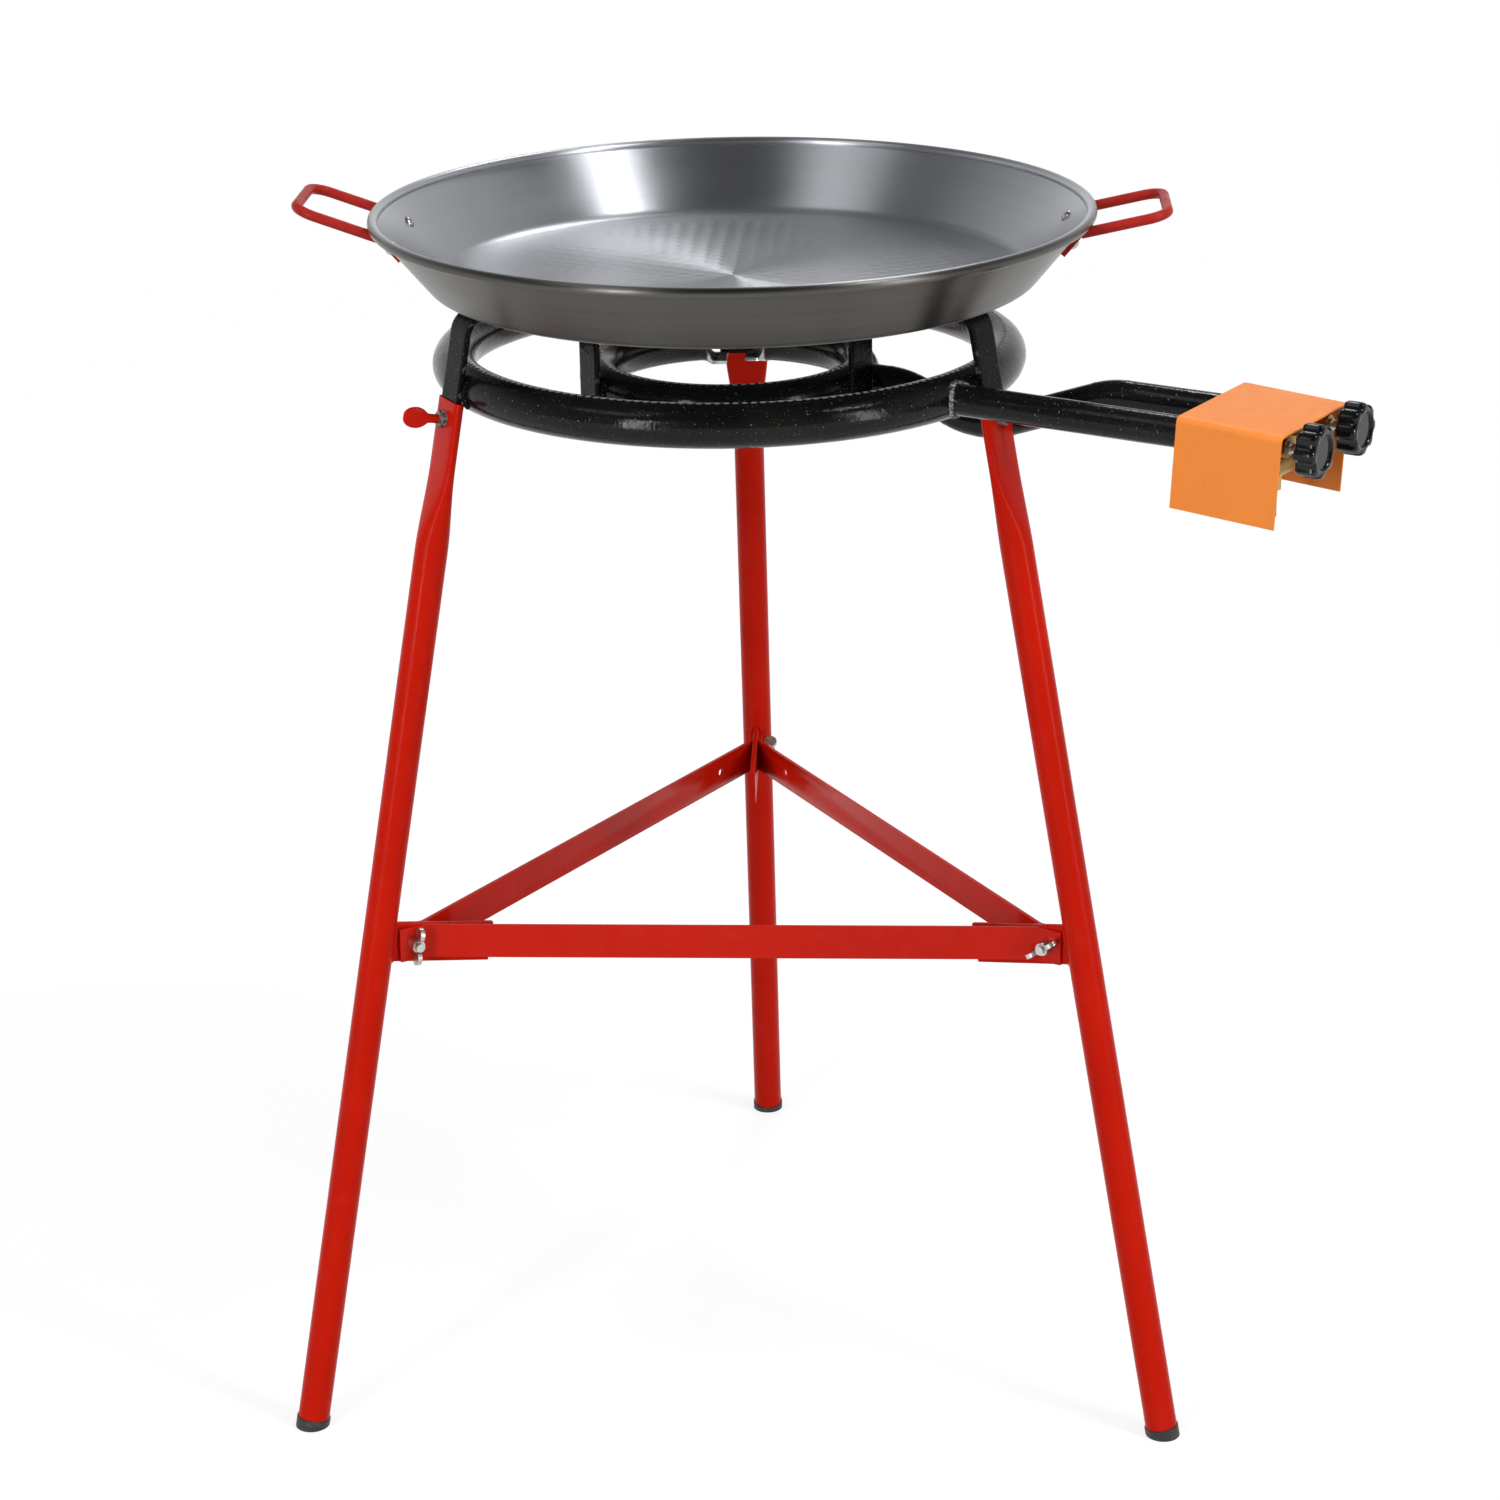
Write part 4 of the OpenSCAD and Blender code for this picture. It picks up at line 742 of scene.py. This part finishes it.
pan_steel = new_finish("pan_steel")
wrap = add(pan_steel, "UVMap", {}, uv_map="wrap")
spot = place(pan_steel)
brush_map = add(pan_steel, "Mapping", {"Vector": wrap, "Scale": (7.0, 1500.0, 1.0)})
brushing = add(pan_steel, "TexNoise",
               {"Vector": brush_map, "Scale": 1.0, "Detail": 4.0, "Roughness": 0.65})
band_map = add(pan_steel, "Mapping", {"Vector": wrap, "Scale": (2.0, 160.0, 1.0)})
bands = add(pan_steel, "TexNoise", {"Vector": band_map, "Scale": 1.0, "Detail": 2.0})
outside = add(pan_steel, "Attribute", {}, "Fac", attribute_name="wear_and_painted_light")
inner_tone = blend(pan_steel, brushing, (0.405, 0.417, 0.450, 1), (0.530, 0.545, 0.580, 1))
inner_tone = blend(pan_steel, spread(pan_steel, bands, 0.35, 0.7, 0, 0.35),
                   inner_tone, (0.420, 0.425, 0.440, 1))
# Painted shade: the outside is a far darker copy of the same steel, with the same rings.
outer_painted_shade = blend(pan_steel, brushing, (0.080, 0.077, 0.070, 1), (0.125, 0.121, 0.112, 1))
outer_painted_shade = blend(pan_steel, spread(pan_steel, bands, 0.35, 0.7, 0, 0.4),
                   outer_painted_shade, (0.082, 0.076, 0.066, 1))
steel_tone = blend(pan_steel, outside, inner_tone, outer_painted_shade)
rough = work_out(pan_steel, "ADD", spread(pan_steel, brushing, 0.25, 0.75, 0.31, 0.39),
                 spread(pan_steel, noise(pan_steel, spot, 16, 4), 0.35, 0.75, -0.02, 0.04))
shade(pan_steel, Base_Color=steel_tone, Metallic=1.0, Roughness=rough,
      Anisotropic=0.8, Anisotropic_Rotation=0.25,
      Tangent=add(pan_steel, "Tangent", {}, direction_type="UV_MAP", uv_map="wrap"),
      Normal=relief(pan_steel, brushing, 0.00004, 0.5))
pan_grids = [pan_floor(), spun(pan_profile(), floor_edge * 0.001)]
pan_grids = [around(grid + [PAN_OFF, 0, 0, 0, 0, 0], 0) for grid in pan_grids]
make_piece("polished_pan", pan_grids, pan_steel, "pan", ("pan_bowl",), PAN_SHARP)

# Handles: two bent steel rods with pressed feet, dipped in a darker red than the legs, each held
# to the pan's wall by two steel rivets.
handle_coat = mottled("handle_coat", (0.33, 0.014, 0.010, 1), (0.47, 0.024, 0.017, 1),
                      patches=(70, 5, 0, 1), rough=(130, 4, 0.30, 0.46),
                      grain=(380, 3, 0.0002, 0.7), Specular_IOR_Level=0.12)
finish_node(handle_coat, "pan_handle_left", "pan_handle_right")
rivet_steel = mottled("rivet_steel", (0.36, 0.355, 0.35, 1), (0.56, 0.555, 0.55, 1),
                      patches=(220, 5, 0, 1), rough=(500, 3, 0.20, 0.36),
                      grain=(900, 2, 0.0001, 0.6), Metallic=1.0)
finish_node(rivet_steel, "pan_rivets")

# Studio: a pale floor that takes a faint shadow, and a white backdrop behind, which mirrors see
# darken towards the room in front and overhead. Three soft lamps hang above, two strips stand
# in front.
FLOOR_HALF = 30
GLOW_NEAR, GLOW_FAR = 0.72, 0.86
scene = bpy.context.scene
floor_paint = new_finish("studio_floor")
floor_tree = floor_paint.node_tree
floor_tree.nodes.remove(floor_tree.nodes["Principled BSDF"])


def seen_directly(finish):
    """1 for rays from the camera, from a mirror surface or through glass, otherwise 0."""
    seen = add(finish, "LightPath", {}, "Is Camera Ray")
    for ray in ("Is Glossy Ray", "Is Transmission Ray"):
        seen = work_out(finish, "MAXIMUM", seen, add(finish, "LightPath", {}, ray))
    return seen


matt = add(floor_paint, "BsdfDiffuse", {"Color": (0.36, 0.36, 0.36, 1)})
away = add(floor_paint, "VectorMath", {0: place(floor_paint)}, "Value", operation="LENGTH")
paleness = spread(floor_paint, away, 0.4, 6.0, GLOW_NEAR, GLOW_FAR)
strength = work_out(floor_paint, "MULTIPLY", seen_directly(floor_paint), paleness)
glow = add(floor_paint, "Emission", {"Color": (1, 1, 1, 1), "Strength": strength})
both = add(floor_paint, "AddShader", {0: matt, 1: glow})
floor_tree.links.new(both, floor_tree.nodes["Material Output"].inputs["Surface"])
floor_mesh = bpy.data.meshes.new("studio_floor")
floor_corners = [(x * FLOOR_HALF, y * FLOOR_HALF, 0)
                 for x, y in ((-1, -1), (1, -1), (1, 1), (-1, 1))]
floor_mesh.from_pydata(floor_corners, [], [(0, 1, 2, 3)])
floor_mesh.materials.append(floor_paint)
floor = bpy.data.objects.new("studio_floor", floor_mesh)
scene.collection.objects.link(floor)

world = bpy.data.worlds.new("studio")
scene.world = world
world.use_nodes = True
sky = world.node_tree
direction = add(world, "TexCoord", {}, "Generated")
height = add(world, "SeparateXYZ", {0: direction}, "Z")
depth = add(world, "SeparateXYZ", {0: direction}, "Y")
backdrop = spread(world, height, 0.10, 0.70, 1.0, 0.15)
backdrop = work_out(world, "MULTIPLY", backdrop, spread(world, depth, -0.45, 0.1, 0.25, 1.0))
surround = blend(world, add(world, "LightPath", {}, "Is Camera Ray"), backdrop, (1, 1, 1, 1))
level = blend(world, seen_directly(world), (0.47, 0.47, 0.47, 1), surround)
sky.links.new(level, sky.nodes["Background"].inputs["Color"])


def soft_lamp(name, at, towards, width, length, power):
    """A rectangular soft lamp at a place, facing a point, with its length upright."""
    lamp = bpy.data.lights.new(name, "AREA")
    lamp.shape = "RECTANGLE"
    lamp.size, lamp.size_y, lamp.energy = width, length, power
    holder = bpy.data.objects.new(name, lamp)
    scene.collection.objects.link(holder)
    at, towards = np.array(at, float), np.array(towards, float)
    back = (at - towards) / np.linalg.norm(at - towards)
    side = np.cross((0, 0, 1), back)
    side /= np.linalg.norm(side)
    matrix = np.eye(4)
    matrix[:3] = np.stack([side, np.cross(back, side), back, at], -1)
    holder.matrix_world = Matrix(matrix.tolist())


soft_lamp("key_lamp", (1.12, -0.65, 2.58), (0, 0, 0.8), 0.40, 0.40, 14)
soft_lamp("top_lamp", (-1.13, -0.81, 2.56), (0, 0, 0.8), 0.9, 0.9, 4)
soft_lamp("back_lamp", (0.27, 1.83, 2.58), (0, 0, 0.8), 0.5, 0.5, 9)
soft_lamp("left_strip", (-2.0, -3.2, 1.35), (0, 0, 0.7), 0.5, 2.6, 62)
soft_lamp("right_strip", (2.9, -2.1, 1.35), (0, 0, 0.7), 0.5, 2.6, 44)

# Camera: the photograph's viewpoint, a long lens from in front and above, turned by a pitch, a
# yaw and a small roll. Its place is given from the foot of the burner's axis.
FOCAL, PITCH, YAW, ROLL = 88.592, 0.3537616, -0.0553766, -0.0176389
CAMERA_AT = (0.143837, -2.428005, 1.341240)
forward = np.array([np.sin(YAW) * np.cos(PITCH), np.cos(YAW) * np.cos(PITCH), -np.sin(PITCH)])
right = np.array([np.cos(YAW), -np.sin(YAW), 0])
upward = np.cross(right, forward)
view = np.eye(4)
view[:3, 0] = np.cos(ROLL) * right + np.sin(ROLL) * upward
view[:3, 1] = -np.sin(ROLL) * right + np.cos(ROLL) * upward
view[:3, 2] = -forward
view[:3, 3] = np.array(CAMERA_AT) + [burner_axis[0], burner_axis[1], 0]
lens = bpy.data.cameras.new("camera")
lens.sensor_width, lens.lens = 36.0, FOCAL
lens.clip_end = 100
camera = bpy.data.objects.new("camera", lens)
camera.matrix_world = Matrix(view.tolist())
scene.collection.objects.link(camera)
scene.camera = camera
scene.view_settings.view_transform = "Standard"
